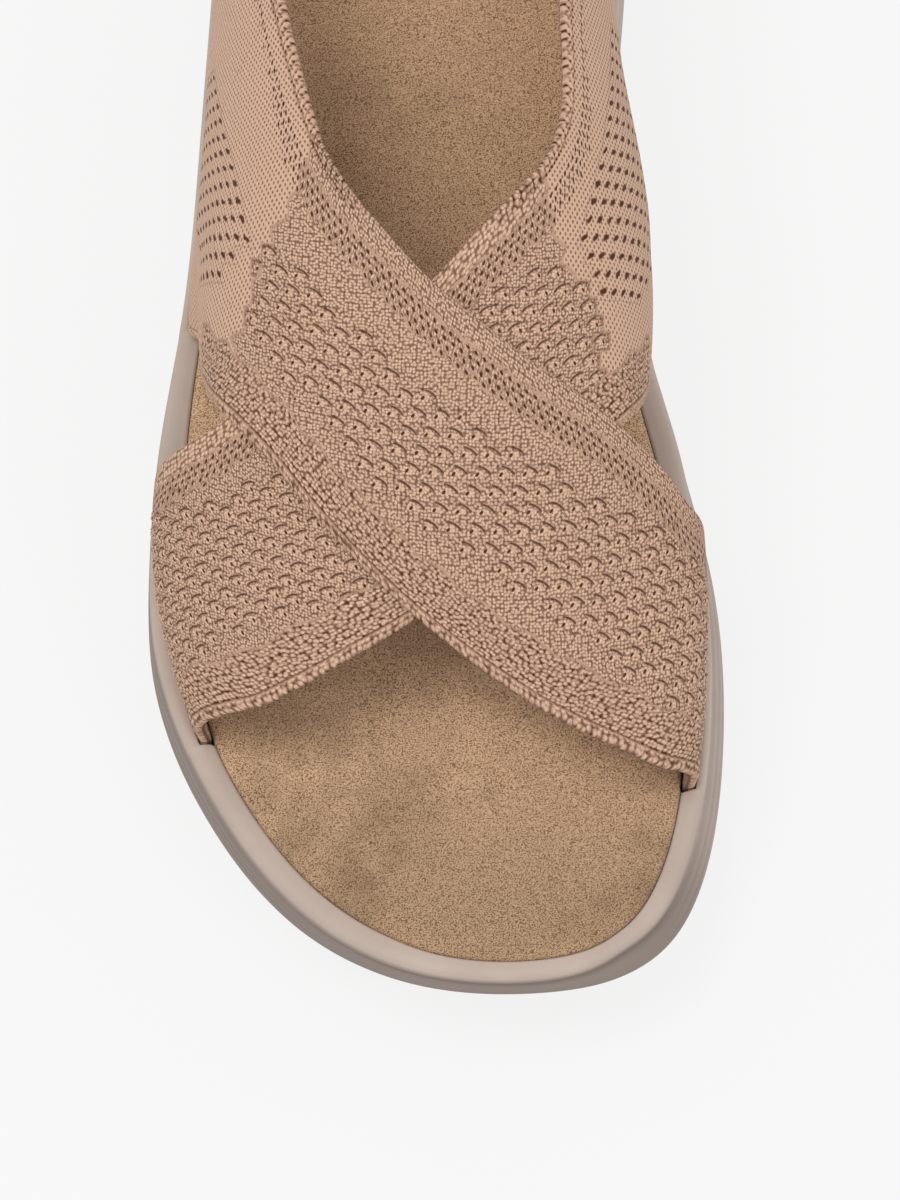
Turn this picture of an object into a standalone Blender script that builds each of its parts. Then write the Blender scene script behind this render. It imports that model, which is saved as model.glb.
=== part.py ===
# Cross strap sandal, right shoe: a knitted upper of two straps that cross over the instep and
# run round the heel, a padded insole, a foam midsole with a rounded rim, and a rubber outsole.
# Metres, +Z up. The toe points to -Y and the inner (medial) side of the foot to +X.
# Stations are shares of the sole's length, 0 at the toe and 1 at the heel.

import math

import bmesh
import bpy
import numpy as np

# Driving sizes
SOLE_LENGTH = 0.258
BALL_WIDTH = 0.098
FORE_HEIGHT = 0.025          # floor to the top of the rim under the ball of the foot
HEEL_LIFT = 0.013            # how much higher the rim is at the heel
TOE_SPRING = 0.0095          # floor to the tread under the tip of the toe
ARCH_LIFT = 0.0015           # floor to the tread under the waist
INSTEP_HEIGHT = 0.057        # top of the rim to the crossing straps at their highest

UPPER_WALL = 0.0020
STRAP_SINK = 0.0003          # how deep the upper strap is bonded into the lower one
DRAWN_WIDTH = 0.55           # share of a strap's width that a drawn-in front edge takes along
OUTSOLE_THICKNESS = 0.0034
LUG_DEPTH = 0.0016
LUG_PITCH = 0.0115
LUG_GAP = 0.0030
INSOLE_RECESS = 0.0062       # depth of the midsole's recess for the insole
INSOLE_CROWN = 0.0012
HEEL_CUP = 0.0022
RIM_INSET = 0.0069           # widest outline to the insole's edge, at the medial ball
RIM_FLARE = 0.0027           # widest outline to the rim's outer edge, at the medial ball
RIM_DEPTH = 0.0046           # height of the rim's rounded bead
UNDERCUT = 0.0062            # how far the tread's edge lies inside the outline at the toe
RIB_DEPTH = 0.0006
RIB_WIDTH = 0.0011
RIB_COUNT = 3
RIB_ZONE = (1.06, 2.00)      # levels of the wall between which the ribs lie
RIB_START = 0.02             # station where the ribs begin, and as far from the heel
RIB_FADE = 0.06              # length over which they come to their full depth
RIM_GROOVE = 0.0004          # depth of the line under the rim
WALL_SHARE = 0.34            # how much of the undercut is left half-way up to the widest level
CLEARANCE = 0.0003
SOCKET_END_GAP = 0.0009      # room along the rim beyond each end of a strap
SOCKET_STEP = 0.0003         # half the length over which the rim steps back at a socket's end
LEAST_STEP = 0.0018          # closest that other rings' points come to such a step
MIDSOLE_EDGE_INSET = 0.0006  # bottom edge of the midsole, inside the undercut
OUTSOLE_INSETS = (0.0020, 0.0007, 0.0005)   # the same for the outsole's tread, side and top
OUTSOLE_SIDE = 0.6           # level of the outsole's side edge, as a share of its thickness
LUG_ZONES = ((0.060, 0.450), (0.700, 0.960))
LUG_SLOPE = 0.0005           # length of the slope at each side of a lug
CUP_START = 0.55             # station where the heel cup of the insole begins
CUP_LENGTH = 0.25            # and the length over which it comes to its full depth

# The outline from above: station, then the lateral and medial edge as shares of half the
# ball width, measured from the shoe's centre line.
OUTLINE = (
    (0.000, 0.235, 0.235),
    (0.006, -0.033, 0.515),
    (0.014, -0.157, 0.626),
    (0.033, -0.337, 0.760),
    (0.072, -0.556, 0.882),
    (0.131, -0.764, 0.962),
    (0.187, -0.901, 0.994),
    (0.244, -0.982, 1.000),
    (0.315, -1.000, 0.965),
    (0.408, -0.958, 0.838),
    (0.470, -0.905, 0.742),
    (0.540, -0.865, 0.690),
    (0.620, -0.838, 0.657),
    (0.690, -0.815, 0.661),
    (0.754, -0.792, 0.686),
    (0.860, -0.700, 0.655),
    (0.935, -0.545, 0.520),
    (0.975, -0.365, 0.350),
    (1.000, -0.020, -0.020),
)

# The rounded rim in section: how far in from the outer to the inner edge, and how far below
# the top, as a share of the rim depth.
RIM_SECTION = ((0.0, 0.72), (0.08, 0.36), (0.30, 0.08), (0.62, 0.0), (0.88, 0.02), (1.0, 0.13))

# The insole's rounded edge: inset, and height over the top of the rim.
INSOLE_SECTION = ((0.0, -0.0012), (0.0003, -0.0004), (0.0010, 0.0001), (0.0022, 0.0004))

# Lengthwise form of the sole, each as a station and a share: the tread above the floor as a
# share of the toe spring, the same of the arch lift, and the rim's rise as a share of the
# heel lift.
TREAD_RISE = (
    (0.000, 1.00),
    (0.060, 0.48),
    (0.120, 0.17),
    (0.190, 0.00),
    (0.440, 0.00),
)
ARCH_RISE = (
    (0.430, 0.00),
    (0.560, 1.00),
    (0.640, 1.00),
    (0.730, 0.00),
    (0.940, 0.00),
    (1.000, 1.60),
)
RIM_RISE = (
    (0.000, 0.17),
    (0.100, 0.04),
    (0.220, 0.00),
    (0.400, 0.14),
    (0.560, 0.50),
    (0.760, 0.88),
    (0.900, 1.00),
    (1.000, 1.00),
)

# The sole's side: station, then lateral and medial shares of the rim inset, of the rim flare
# and of the undercut, a share of the rim depth, and where the wall is widest, as a share of
# its height.
SIDE = (
    (0.000, 0.56, 0.56, 0.20, 0.20, 1.00, 1.00, 0.60, 0.86),
    (0.020, 0.64, 0.74, 0.12, 0.85, 0.90, 0.85, 0.66, 0.76),
    (0.060, 0.66, 0.86, 0.10, 0.90, 0.70, 0.60, 0.74, 0.62),
    (0.130, 0.68, 0.91, 0.12, 0.90, 0.45, 0.40, 0.90, 0.48),
    (0.225, 0.86, 0.96, 0.18, 0.90, 0.38, 0.36, 1.00, 0.38),
    (0.330, 0.90, 0.94, 0.22, 0.80, 0.36, 0.36, 1.00, 0.36),
    (0.400, 0.76, 0.84, 0.20, 0.40, 0.34, 0.34, 1.00, 0.36),
    (0.460, 0.66, 0.70, 0.16, 0.20, 0.34, 0.34, 1.05, 0.36),
    (0.560, 0.62, 0.62, 0.15, 0.16, 0.34, 0.34, 1.05, 0.36),
    (0.800, 0.62, 0.62, 0.15, 0.16, 0.36, 0.36, 1.05, 0.36),
    (1.000, 0.70, 0.70, 0.18, 0.18, 0.45, 0.45, 1.05, 0.40),
)

# The last under the straps: station, ridge line sideways (share of half the ball width), then
# ridge height, lateral fullness and medial fullness (shares of the instep height).
HEEL_AXIS = 0.853            # station of the upright axis that the heel turns round
HEEL_TURN = 0.200            # length of the quarter turn at the heel, as a share of the length
LAST_POWER = 2.4             # how square the last's sections are
LAST = (
    (0.080, 0.020, 0.330, 0.020, 0.020),
    (0.206, -0.050, 0.500, 0.055, 0.045),
    (0.300, -0.045, 0.730, 0.078, 0.062),
    (0.400, -0.020, 0.930, 0.040, 0.085),
    (0.490, -0.010, 1.030, 0.012, 0.095),
    (0.610, -0.040, 1.030, 0.015, 0.055),
    (0.720, -0.040, 1.000, 0.018, 0.025),
    (0.853, -0.030, 0.960, 0.020, 0.020),
    (1.053, -0.030, 0.900, 0.020, 0.020),
)

# Where the straps are let into the rim: side, first and last station.
SOCKETS = (
    ("lateral", 0.172, 0.328),
    ("medial", 0.138, 0.298),
    ("lateral", 0.456, 0.790),
    ("medial", 0.434, 0.790),
)

# The straps as bands on the last. Each row joins a point on the front or lower edge to one on
# the back or upper edge: station and girth of each, the girth running from 0 at the lateral
# base over the ridge, 0.5, to 1 at the medial base. Then comes how far the upper strap is
# lifted over the lower one, as a share of the wall, and how far the pull of the strap draws
# its front edge in from the last, as a share of the instep height.
STRAP_OVER = (
    (0.138, 1.000, 0.298, 1.000, 0.0, 0.00),
    (0.138, 0.925, 0.298, 0.925, 0.0, 0.00),
    (0.130, 0.830, 0.299, 0.830, 0.0, 0.01),
    (0.138, 0.740, 0.316, 0.760, 0.0, 0.01),
    (0.149, 0.665, 0.335, 0.680, 0.6, 0.00),
    (0.169, 0.594, 0.352, 0.610, 1.0, 0.00),
    (0.207, 0.497, 0.376, 0.545, 1.0, 0.00),
    (0.233, 0.442, 0.396, 0.502, 1.0, 0.00),
    (0.268, 0.385, 0.425, 0.460, 1.0, 0.00),
    (0.304, 0.338, 0.452, 0.427, 1.0, 0.00),
    (0.334, 0.290, 0.480, 0.402, 0.8, 0.01),
    (0.375, 0.200, 0.515, 0.383, 0.3, 0.10),
    (0.425, 0.110, 0.553, 0.367, 0.0, 0.10),
    (0.458, 0.040, 0.592, 0.352, 0.0, 0.00),
    (0.478, 0.000, 0.630, 0.335, 0.0, 0.00),
    (0.620, 0.000, 0.690, 0.305, 0.0, 0.00),
    (0.750, 0.000, 0.755, 0.282, 0.0, 0.00),
    (0.785, 0.050, 0.800, 0.275, 0.0, 0.00),
    (0.830, 0.120, 0.850, 0.270, 0.0, 0.00),
    (0.875, 0.140, 0.875, 0.270, 0.0, 0.00),
    (0.920, 0.150, 0.920, 0.270, 0.0, 0.00),
    (0.965, 0.153, 0.965, 0.270, 0.0, 0.00),
    (1.010, 0.155, 1.010, 0.270, 0.0, 0.00),
    (1.053, 0.155, 1.053, 0.270, 0.0, 0.00),
)
STRAP_UNDER = (
    (0.172, 0.000, 0.328, 0.000, 0.0, 0.00),
    (0.172, 0.075, 0.328, 0.075, 0.0, 0.00),
    (0.166, 0.170, 0.328, 0.180, 0.0, 0.01),
    (0.163, 0.250, 0.329, 0.243, 0.0, 0.01),
    (0.171, 0.332, 0.340, 0.320, 0.0, 0.00),
    (0.185, 0.407, 0.358, 0.400, 0.0, 0.00),
    (0.207, 0.494, 0.378, 0.465, 0.0, 0.00),
    (0.235, 0.560, 0.396, 0.502, 0.0, 0.00),
    (0.265, 0.620, 0.422, 0.539, 0.0, 0.00),
    (0.297, 0.670, 0.450, 0.578, 0.0, 0.00),
    (0.329, 0.717, 0.485, 0.620, 0.0, 0.01),
    (0.368, 0.800, 0.524, 0.644, 0.0, 0.10),
    (0.410, 0.890, 0.561, 0.653, 0.0, 0.11),
    (0.436, 0.958, 0.598, 0.659, 0.0, 0.00),
    (0.455, 1.000, 0.640, 0.675, 0.0, 0.00),
    (0.620, 1.000, 0.690, 0.700, 0.0, 0.00),
    (0.750, 1.000, 0.755, 0.718, 0.0, 0.00),
    (0.785, 0.950, 0.800, 0.725, 0.0, 0.00),
    (0.830, 0.880, 0.850, 0.730, 0.0, 0.00),
    (0.875, 0.860, 0.875, 0.730, 0.0, 0.00),
    (0.920, 0.850, 0.920, 0.730, 0.0, 0.00),
    (0.965, 0.847, 0.965, 0.730, 0.0, 0.00),
    (1.010, 0.845, 1.010, 0.730, 0.0, 0.00),
    (1.053, 0.845, 1.053, 0.730, 0.0, 0.00),
)

# How finely the faces are cut
SIDE_STATIONS = 34
STRAP_ROWS = 69
STRAP_COLUMNS = 7
UNDER_STRAP_ROWS = 40        # rows of the lower strap from its base to behind the crossing
SECTION_POINTS = 48
EDGE_POINTS = 720
INSOLE_COLUMNS = 6
SOLE_COLUMNS = 2


def smooth(table, column, share):
    # A smooth curve through one column of a table, without overshoot between its rows.
    xs = np.array([row[0] for row in table])
    ys = np.array([row[column] for row in table])
    steps = np.diff(xs)
    slopes = np.diff(ys) / steps
    tangents = np.zeros(len(xs))
    tangents[0] = slopes[0]
    tangents[-1] = slopes[-1]
    for i in range(1, len(xs) - 1):
        if slopes[i - 1] * slopes[i] > 0:
            near = 2 * steps[i] + steps[i - 1]
            far = steps[i] + 2 * steps[i - 1]
            tangents[i] = (near + far) / (near / slopes[i - 1] + far / slopes[i])
    x = min(max(share, xs[0]), xs[-1])
    i = int(min(max(np.searchsorted(xs, x) - 1, 0), len(xs) - 2))
    s = (x - xs[i]) / steps[i]
    bend = s * s * (3 - 2 * s)
    start = steps[i] * tangents[i] * s * (1 - s) ** 2
    end = steps[i] * tangents[i + 1] * s * s * (s - 1)
    return ys[i] * (1 - bend) + ys[i + 1] * bend + start + end


def closed_spline(angles, values):
    # Second derivatives of the smooth closed curve through the values at rising angles.
    n = len(angles)
    gaps = np.array([(angles[(i + 1) % n] - angles[i]) % (2 * math.pi) for i in range(n)])
    matrix = np.zeros((n, n))
    right = np.zeros(n)
    for i in range(n):
        before = gaps[i - 1]
        after = gaps[i]
        matrix[i, i - 1] = before
        matrix[i, i] = 2 * (before + after)
        matrix[i, (i + 1) % n] = after
        rise = (values[(i + 1) % n] - values[i]) / after
        fall = (values[i] - values[i - 1]) / before
        right[i] = 6 * (rise - fall)
    return gaps, np.linalg.solve(matrix, right)


def turn_of(share):
    return math.acos(min(max(1 - 2 * share, -1.0), 1.0))


LATERAL_ROWS = [(turn_of(row[0]), row[1]) for row in OUTLINE]
MEDIAL_ROWS = [(2 * math.pi - turn_of(row[0]), row[2]) for row in reversed(OUTLINE[1:-1])]
OUTLINE_TURNS = [row[0] for row in LATERAL_ROWS + MEDIAL_ROWS]
OUTLINE_WIDTHS = [row[1] * BALL_WIDTH / 2 for row in LATERAL_ROWS + MEDIAL_ROWS]
OUTLINE_GAPS, OUTLINE_BENDS = closed_spline(OUTLINE_TURNS, OUTLINE_WIDTHS)


def y_of(share):
    return SOLE_LENGTH * (share - 0.5)


def share_of(turn):
    return (1 - math.cos(turn)) / 2


def outline_point(turn):
    # Point and outward direction of the sole's widest outline. The turn runs from 0 at the
    # toe, down the lateral side to pi at the heel, and back up the medial side.
    turn = turn % (2 * math.pi)
    n = len(OUTLINE_TURNS)
    i = max(k for k in range(n) if OUTLINE_TURNS[k] <= turn + 1e-12)
    gap = OUTLINE_GAPS[i]
    a = (turn - OUTLINE_TURNS[i]) / gap
    b = 1 - a
    x0, x1 = OUTLINE_WIDTHS[i], OUTLINE_WIDTHS[(i + 1) % n]
    m0, m1 = OUTLINE_BENDS[i], OUTLINE_BENDS[(i + 1) % n]
    x = b * x0 + a * x1 + ((b ** 3 - b) * m0 + (a ** 3 - a) * m1) * gap * gap / 6
    dx = (x1 - x0) / gap + ((3 * a * a - 1) * m1 - (3 * b * b - 1) * m0) * gap / 6
    dy = SOLE_LENGTH / 2 * math.sin(turn)
    length = math.hypot(dx, dy)
    return np.array([x, y_of(share_of(turn))]), np.array([-dy, dx]) / length


def by_side(turn, lateral_column, medial_column):
    # One value of the side table. The two sides agree at the toe and the heel.
    column = lateral_column if turn % (2 * math.pi) <= math.pi else medial_column
    return smooth(SIDE, column, share_of(turn))


def rim_inset(turn):
    return RIM_INSET * by_side(turn, 1, 2)


def rim_flare(turn):
    return RIM_FLARE * by_side(turn, 3, 4)


def undercut(turn):
    return UNDERCUT * by_side(turn, 5, 6)


def rim_depth(turn):
    return RIM_DEPTH * by_side(turn, 7, 7)


def widest_level(turn):
    return by_side(turn, 8, 8)


def tread_z(share):
    return TOE_SPRING * smooth(TREAD_RISE, 1, share) + ARCH_LIFT * smooth(ARCH_RISE, 1, share)


def rim_z(share):
    return FORE_HEIGHT + HEEL_LIFT * smooth(RIM_RISE, 1, share)


def recess_z(share):
    return rim_z(share) - INSOLE_RECESS


SOCKET_DEPTH = UPPER_WALL + CLEARANCE


def edge_station(turn):
    # Station of the insole's edge where the outline has this turn.
    point, outward = outline_point(turn)
    return (point - outward * rim_inset(turn))[1] / SOLE_LENGTH + 0.5


def in_socket(turn):
    station = edge_station(turn)
    side = "lateral" if turn % (2 * math.pi) <= math.pi else "medial"
    grow = SOCKET_END_GAP / SOLE_LENGTH
    return any(side == s and first - grow <= station <= last + grow for s, first, last in SOCKETS)


def socket_stations():
    # Outline stations just outside and inside each end of each socket.
    step = SOCKET_STEP / SOLE_LENGTH
    grow = SOCKET_END_GAP / SOLE_LENGTH
    stations = []
    for side, first, last in SOCKETS:
        for end in (first - grow, last + grow):
            station = end
            for _ in range(6):
                turn = turn_of(station)
                turn = turn if side == "lateral" else 2 * math.pi - turn
                station += end - edge_station(turn)
            stations += [station - step, station + step]
    return sorted(stations)


# Rings of the sole

def side_stations(extra):
    # Stations for the sole's rings: close together at the round toe and heel.
    even = [share_of(math.pi * i / SIDE_STATIONS) for i in range(1, SIDE_STATIONS)]
    least = LEAST_STEP / SOLE_LENGTH
    kept = [s for s in even if all(abs(s - e) > least for e in extra)]
    return sorted(kept + list(extra))


def turns_around(stations):
    lateral = [turn_of(s) for s in stations]
    medial = [2 * math.pi - turn_of(s) for s in reversed(stations)]
    return [0.0] + lateral + [math.pi] + medial


def ring(turns, inset, height):
    points = []
    for turn in turns:
        point, outward = outline_point(turn)
        place = point - outward * inset(turn)
        points.append((place[0], place[1], height(turn)))
    return points


class Skin:
    # Collects the rings and caps of one closed body.
    def __init__(self, name, colour, roughness):
        self.name = name
        self.colour = colour
        self.roughness = roughness
        self.mesh = bmesh.new()

    def add_ring(self, points):
        return [self.mesh.verts.new(p) for p in points]

    def join(self, lower, upper):
        n = len(lower)
        for i in range(n):
            j = (i + 1) % n
            self.mesh.faces.new((lower[i], lower[j], upper[j], upper[i]))

    def cap(self, around, columns, height):
        # Fills a ring with strips from the lateral to the medial side. The height is a
        # function of the share across, the station and the height on a straight line across.
        half = len(around) // 2
        rows = []
        for i in range(1, half):
            left, right = around[i], around[-i]
            station = (left.co.y + right.co.y) / 2 / SOLE_LENGTH + 0.5
            row = [left]
            for k in range(1, columns):
                across = k / columns
                point = left.co.lerp(right.co, across)
                point.z = height(across, station, point.z)
                row.append(self.mesh.verts.new(point))
            row.append(right)
            rows.append(row)
        for first, second in zip(rows, rows[1:]):
            for k in range(columns):
                self.mesh.faces.new((first[k], first[k + 1], second[k + 1], second[k]))
        for k in range(columns):
            self.mesh.faces.new((around[0], rows[0][k], rows[0][k + 1]))
            self.mesh.faces.new((around[half], rows[-1][k + 1], rows[-1][k]))

    def finish(self):
        bmesh.ops.recalc_face_normals(self.mesh, faces=self.mesh.faces)
        bmesh.ops.triangulate(self.mesh, faces=self.mesh.faces)
        return make_object(self.name, self.mesh, self.colour, self.roughness)


def make_object(name, mesh, colour, roughness):
    data = bpy.data.meshes.new(name)
    mesh.to_mesh(data)
    mesh.free()
    data.shade_smooth()
    data.set_sharp_from_angle(angle=math.radians(40))
    thing = bpy.data.objects.new(name, data)
    bpy.context.scene.collection.objects.link(thing)
    material = bpy.data.materials.new(name)
    material.use_nodes = True
    surface = material.node_tree.nodes["Principled BSDF"]
    surface.inputs["Base Color"].default_value = (*colour, 1.0)
    surface.inputs["Roughness"].default_value = roughness
    surface.inputs["Metallic"].default_value = 0.0
    data.materials.append(material)
    return thing


def flat_across(across, station, straight):
    return straight


# Midsole

def midsole_bottom(share):
    return tread_z(share) + OUTSOLE_THICKNESS + CLEARANCE


def rib_fade(turn):
    # The ribs run out before the toe and the heel.
    share = share_of(turn)
    start = min(max((share - RIB_START) / RIB_FADE, 0.0), 1.0)
    end = min(max((1 - RIB_START - share) / RIB_FADE, 0.0), 1.0)
    return start * end


def build_midsole():
    turns = turns_around(side_stations(socket_stations()))

    def wall_top(turn):
        return rim_z(share_of(turn)) - rim_depth(turn)

    def wall_z(level):
        # The level is 0 at the bottom edge, 1 where the wall is widest and 2 under the rim.
        def height(turn):
            low = midsole_bottom(share_of(turn))
            widest = widest_level(turn)
            share = level * widest if level < 1 else widest + (level - 1) * (1 - widest)
            return low + (wall_top(turn) - low) * share
        return height

    def inner(turn):
        depth = SOCKET_DEPTH if in_socket(turn) else 0.0
        return rim_inset(turn) - depth

    def rim_part(part):
        def inset(turn):
            return rim_flare(turn) + (inner(turn) - rim_flare(turn)) * part
        return inset

    def rim_level(drop):
        def height(turn):
            return rim_z(share_of(turn)) - rim_depth(turn) * drop
        return height

    body = Skin("midsole", (0.49, 0.41, 0.36), 0.75)
    bottom = body.add_ring(ring(turns, lambda t: undercut(t) + MIDSOLE_EDGE_INSET, wall_z(0.0)))
    body.cap(bottom, SOLE_COLUMNS, flat_across)
    rings = [bottom]
    rings.append(body.add_ring(ring(turns, lambda t: undercut(t) * WALL_SHARE, wall_z(0.5))))
    rings.append(body.add_ring(ring(turns, lambda t: 0.0, wall_z(1.0))))
    for number in range(RIB_COUNT):
        share = (number + 0.5) / RIB_COUNT
        level = RIB_ZONE[0] + (RIB_ZONE[1] - RIB_ZONE[0]) * share
        for offset, depth in ((-0.5, 0.0), (0.0, RIB_DEPTH), (0.5, 0.0)):
            def height(turn, level=level, offset=offset):
                return wall_z(level)(turn) + RIB_WIDTH * offset

            def inset(turn, level=level, depth=depth):
                return rim_flare(turn) * (level - 1) ** 1.5 + depth * rib_fade(turn)
            rings.append(body.add_ring(ring(turns, inset, height)))
    rings.append(body.add_ring(ring(turns, lambda t: rim_flare(t) + RIM_GROOVE, rim_level(1.0))))
    for part, drop in RIM_SECTION:
        rings.append(body.add_ring(ring(turns, rim_part(part), rim_level(drop))))
    rings.append(body.add_ring(ring(turns, inner, lambda t: recess_z(share_of(t)))))
    for lower, upper in zip(rings, rings[1:]):
        body.join(lower, upper)
    body.cap(rings[-1], SOLE_COLUMNS, flat_across)
    return body.finish()


# Insole

def insole_z(across, station, straight):
    # Slightly crowned under the forefoot and cupped under the heel, level at both tips.
    middle = (1 - (2 * across - 1) ** 2) * math.sqrt(4 * station * (1 - station))
    heel = min(max((station - CUP_START) / CUP_LENGTH, 0.0), 1.0)
    bend = heel * heel * (3 - 2 * heel)
    return straight + middle * (INSOLE_CROWN * (1 - bend) - HEEL_CUP * bend)


def build_insole():
    turns = turns_around(side_stations([]))

    def inset(extra):
        return lambda t: rim_inset(t) + CLEARANCE + extra

    def level(up):
        return lambda t: rim_z(share_of(t)) + up

    body = Skin("insole", (0.37, 0.26, 0.16), 0.9)
    floor = body.add_ring(ring(turns, inset(0.0), lambda t: recess_z(share_of(t)) + CLEARANCE))
    body.cap(floor, SOLE_COLUMNS, flat_across)
    rings = [floor]
    for extra, up in INSOLE_SECTION:
        rings.append(body.add_ring(ring(turns, inset(extra), level(up))))
    for lower, upper in zip(rings, rings[1:]):
        body.join(lower, upper)
    body.cap(rings[-1], INSOLE_COLUMNS, insole_z)
    return body.finish()


# Outsole

def lug_gaps():
    # First and last station of each gap between lugs, under the forefoot and under the heel.
    pitch = LUG_PITCH / SOLE_LENGTH
    width = LUG_GAP / SOLE_LENGTH
    gaps = []
    for first, last in LUG_ZONES:
        count = int((last - first) / pitch)
        gaps += [(first + k * pitch, first + k * pitch + width) for k in range(count + 1)]
    return gaps


def build_outsole():
    gaps = lug_gaps()
    slope = LUG_SLOPE / SOLE_LENGTH
    extra = []
    for first, last in gaps:
        extra += [first - slope, first, last, last + slope]
    turns = turns_around(side_stations(extra))

    def tread(turn):
        share = share_of(turn)
        raised = any(first - slope / 2 <= share <= last + slope / 2 for first, last in gaps)
        return tread_z(share) + (LUG_DEPTH if raised else 0.0)

    def inset(extra):
        return lambda t: undercut(t) + extra

    def above(share):
        return lambda t: tread_z(share_of(t)) + OUTSOLE_THICKNESS * share

    body = Skin("outsole", (0.42, 0.35, 0.31), 0.85)
    rings = [body.add_ring(ring(turns, inset(OUTSOLE_INSETS[0]), tread))]
    rings.append(body.add_ring(ring(turns, inset(OUTSOLE_INSETS[1]), above(OUTSOLE_SIDE))))
    rings.append(body.add_ring(ring(turns, inset(OUTSOLE_INSETS[2]), above(1.0))))
    for lower, upper in zip(rings, rings[1:]):
        body.join(lower, upper)
    body.cap(rings[0], SOLE_COLUMNS, flat_across)
    body.cap(rings[-1], SOLE_COLUMNS, flat_across)
    return body.finish()


# The last that the straps lie on

INNER_EDGE = []
for step in range(EDGE_POINTS):
    edge_turn = 2 * math.pi * step / EDGE_POINTS
    edge_point, edge_out = outline_point(edge_turn)
    INNER_EDGE.append(edge_point - edge_out * rim_inset(edge_turn))
INNER_EDGE = np.array(INNER_EDGE)


def reach(axis, direction):
    # Distance from a point inside the sole to the insole's edge, along a direction.
    away = INNER_EDGE - axis
    side = away[:, 0] * direction[1] - away[:, 1] * direction[0]
    ahead = away @ direction
    following = np.roll(side, -1)
    hits = np.nonzero((side * following <= 0) & (ahead > 0))[0]
    i = hits[0]
    part = side[i] / (side[i] - following[i])
    return ahead[i] * (1 - part) + ahead[(i + 1) % len(ahead)] * part


HALF_SECTIONS = {}


def half_section(side, station):
    # Axis, direction and profile of the last on one side: -1 lateral, +1 medial.
    key = (side, round(station, 6))
    if key in HALF_SECTIONS:
        return HALF_SECTIONS[key]
    turned = max(0.0, station - HEEL_AXIS) / HEEL_TURN * math.pi / 2
    share = min(station, HEEL_AXIS)
    axis = np.array([smooth(LAST, 1, share) * BALL_WIDTH / 2, y_of(share)])
    direction = np.array([side * math.cos(turned), math.sin(turned)])
    base = reach(axis, direction)
    behind = min(share + max(0.0, station - HEEL_AXIS), 1.0)
    low = rim_z(behind)
    ridge = INSTEP_HEIGHT * smooth(LAST, 2, station)
    fullness = INSTEP_HEIGHT * smooth(LAST, 3 if side < 0 else 4, station)
    out = [base]
    up = [recess_z(behind) + CLEARANCE]
    for i in range(SECTION_POINTS + 1):
        angle = math.pi / 2 * i / SECTION_POINTS
        rise = math.sin(angle) ** (2 / LAST_POWER)
        swell = math.sin(math.pi * rise) ** 1.5 if 0 < rise < 1 else 0.0
        out.append(base * math.cos(angle) ** (2 / LAST_POWER) + fullness * swell)
        up.append(low + ridge * rise)
    out, up = np.array(out), np.array(up)
    lengths = np.concatenate([[0.0], np.cumsum(np.hypot(np.diff(out), np.diff(up)))])
    HALF_SECTIONS[key] = (axis, direction, lengths / lengths[-1], out, up)
    return HALF_SECTIONS[key]


def last_point(station, girth):
    side = -1 if girth <= 0.5 else 1
    along = 2 * girth if girth <= 0.5 else 2 * (1 - girth)
    axis, direction, lengths, out, up = half_section(side, station)
    distance = np.interp(along, lengths, out)
    place = axis + direction * distance
    return np.array([place[0], place[1], np.interp(along, lengths, up)])


def last_normal(station, girth):
    step = 0.004
    low, high = max(girth - step, 0.0), min(girth + step, 1.0)
    around = last_point(station, high) - last_point(station, low)
    along = last_point(station + step, girth) - last_point(station - step, girth)
    normal = np.cross(around, along)
    length = np.linalg.norm(normal)
    return normal / length if length > 0 else np.array([0.0, 0.0, 1.0])


# Upper

def strap_rows(table, count):
    # Rows of the band, evenly spaced between the table's rows, as front and back points.
    spaced = [(i, *row) for i, row in enumerate(table)]
    rows = []
    for k in range(count + 1):
        place = (len(table) - 1) * k / count
        rows.append([smooth(spaced, column, place) for column in range(1, 7)])
    return rows


def strap_point(row, across, height):
    front_station, front_girth, back_station, back_girth, lift, draw = row
    station = front_station + (back_station - front_station) * across
    girth = front_girth + (back_girth - front_girth) * across
    drawn = draw * INSTEP_HEIGHT * max(0.0, 1 - across / DRAWN_WIDTH) ** 2
    raised = height + lift * (UPPER_WALL - STRAP_SINK) - drawn
    return last_point(station, girth) + last_normal(station, girth) * raised


def strap_loop(row):
    outer = [strap_point(row, k / STRAP_COLUMNS, UPPER_WALL) for k in range(STRAP_COLUMNS + 1)]
    inner = [strap_point(row, k / STRAP_COLUMNS, 0.0) for k in range(STRAP_COLUMNS + 1)]
    return outer + inner[::-1]


def build_band(name, rows):
    body = Skin(name, (0.59, 0.43, 0.33), 0.9)
    loops = [body.add_ring(strap_loop(row)) for row in rows]
    for first, second in zip(loops, loops[1:]):
        body.join(first, second)
    last = 2 * STRAP_COLUMNS + 1
    for loop in (loops[0], loops[-1]):
        for k in range(STRAP_COLUMNS):
            body.mesh.faces.new((loop[k], loop[k + 1], loop[last - 1 - k], loop[last - k]))
    return body.finish()


def build_upper():
    # One long band: from the medial base over the instep, round the heel, and back under the
    # first strap to the lateral base. Its last stretch is a second body that starts on the
    # same cross-section, so that joining the two also joins the straps where they cross.
    over = strap_rows(STRAP_OVER, STRAP_ROWS)
    under = strap_rows(STRAP_UNDER, STRAP_ROWS)[:-1]
    upper = build_band("upper", over + under[:UNDER_STRAP_ROWS - 1:-1])
    front = build_band("under_strap", under[:UNDER_STRAP_ROWS + 1])
    front.hide_render = True
    front.display_type = "WIRE"
    crossing = upper.modifiers.new("crossing", "BOOLEAN")
    crossing.operation = "UNION"
    crossing.solver = "EXACT"
    crossing.object = front
    return upper


def main():
    for thing in list(bpy.data.objects):
        bpy.data.objects.remove(thing, do_unlink=True)
    build_outsole()
    build_midsole()
    build_insole()
    build_upper()


main()
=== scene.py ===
import math

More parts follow.
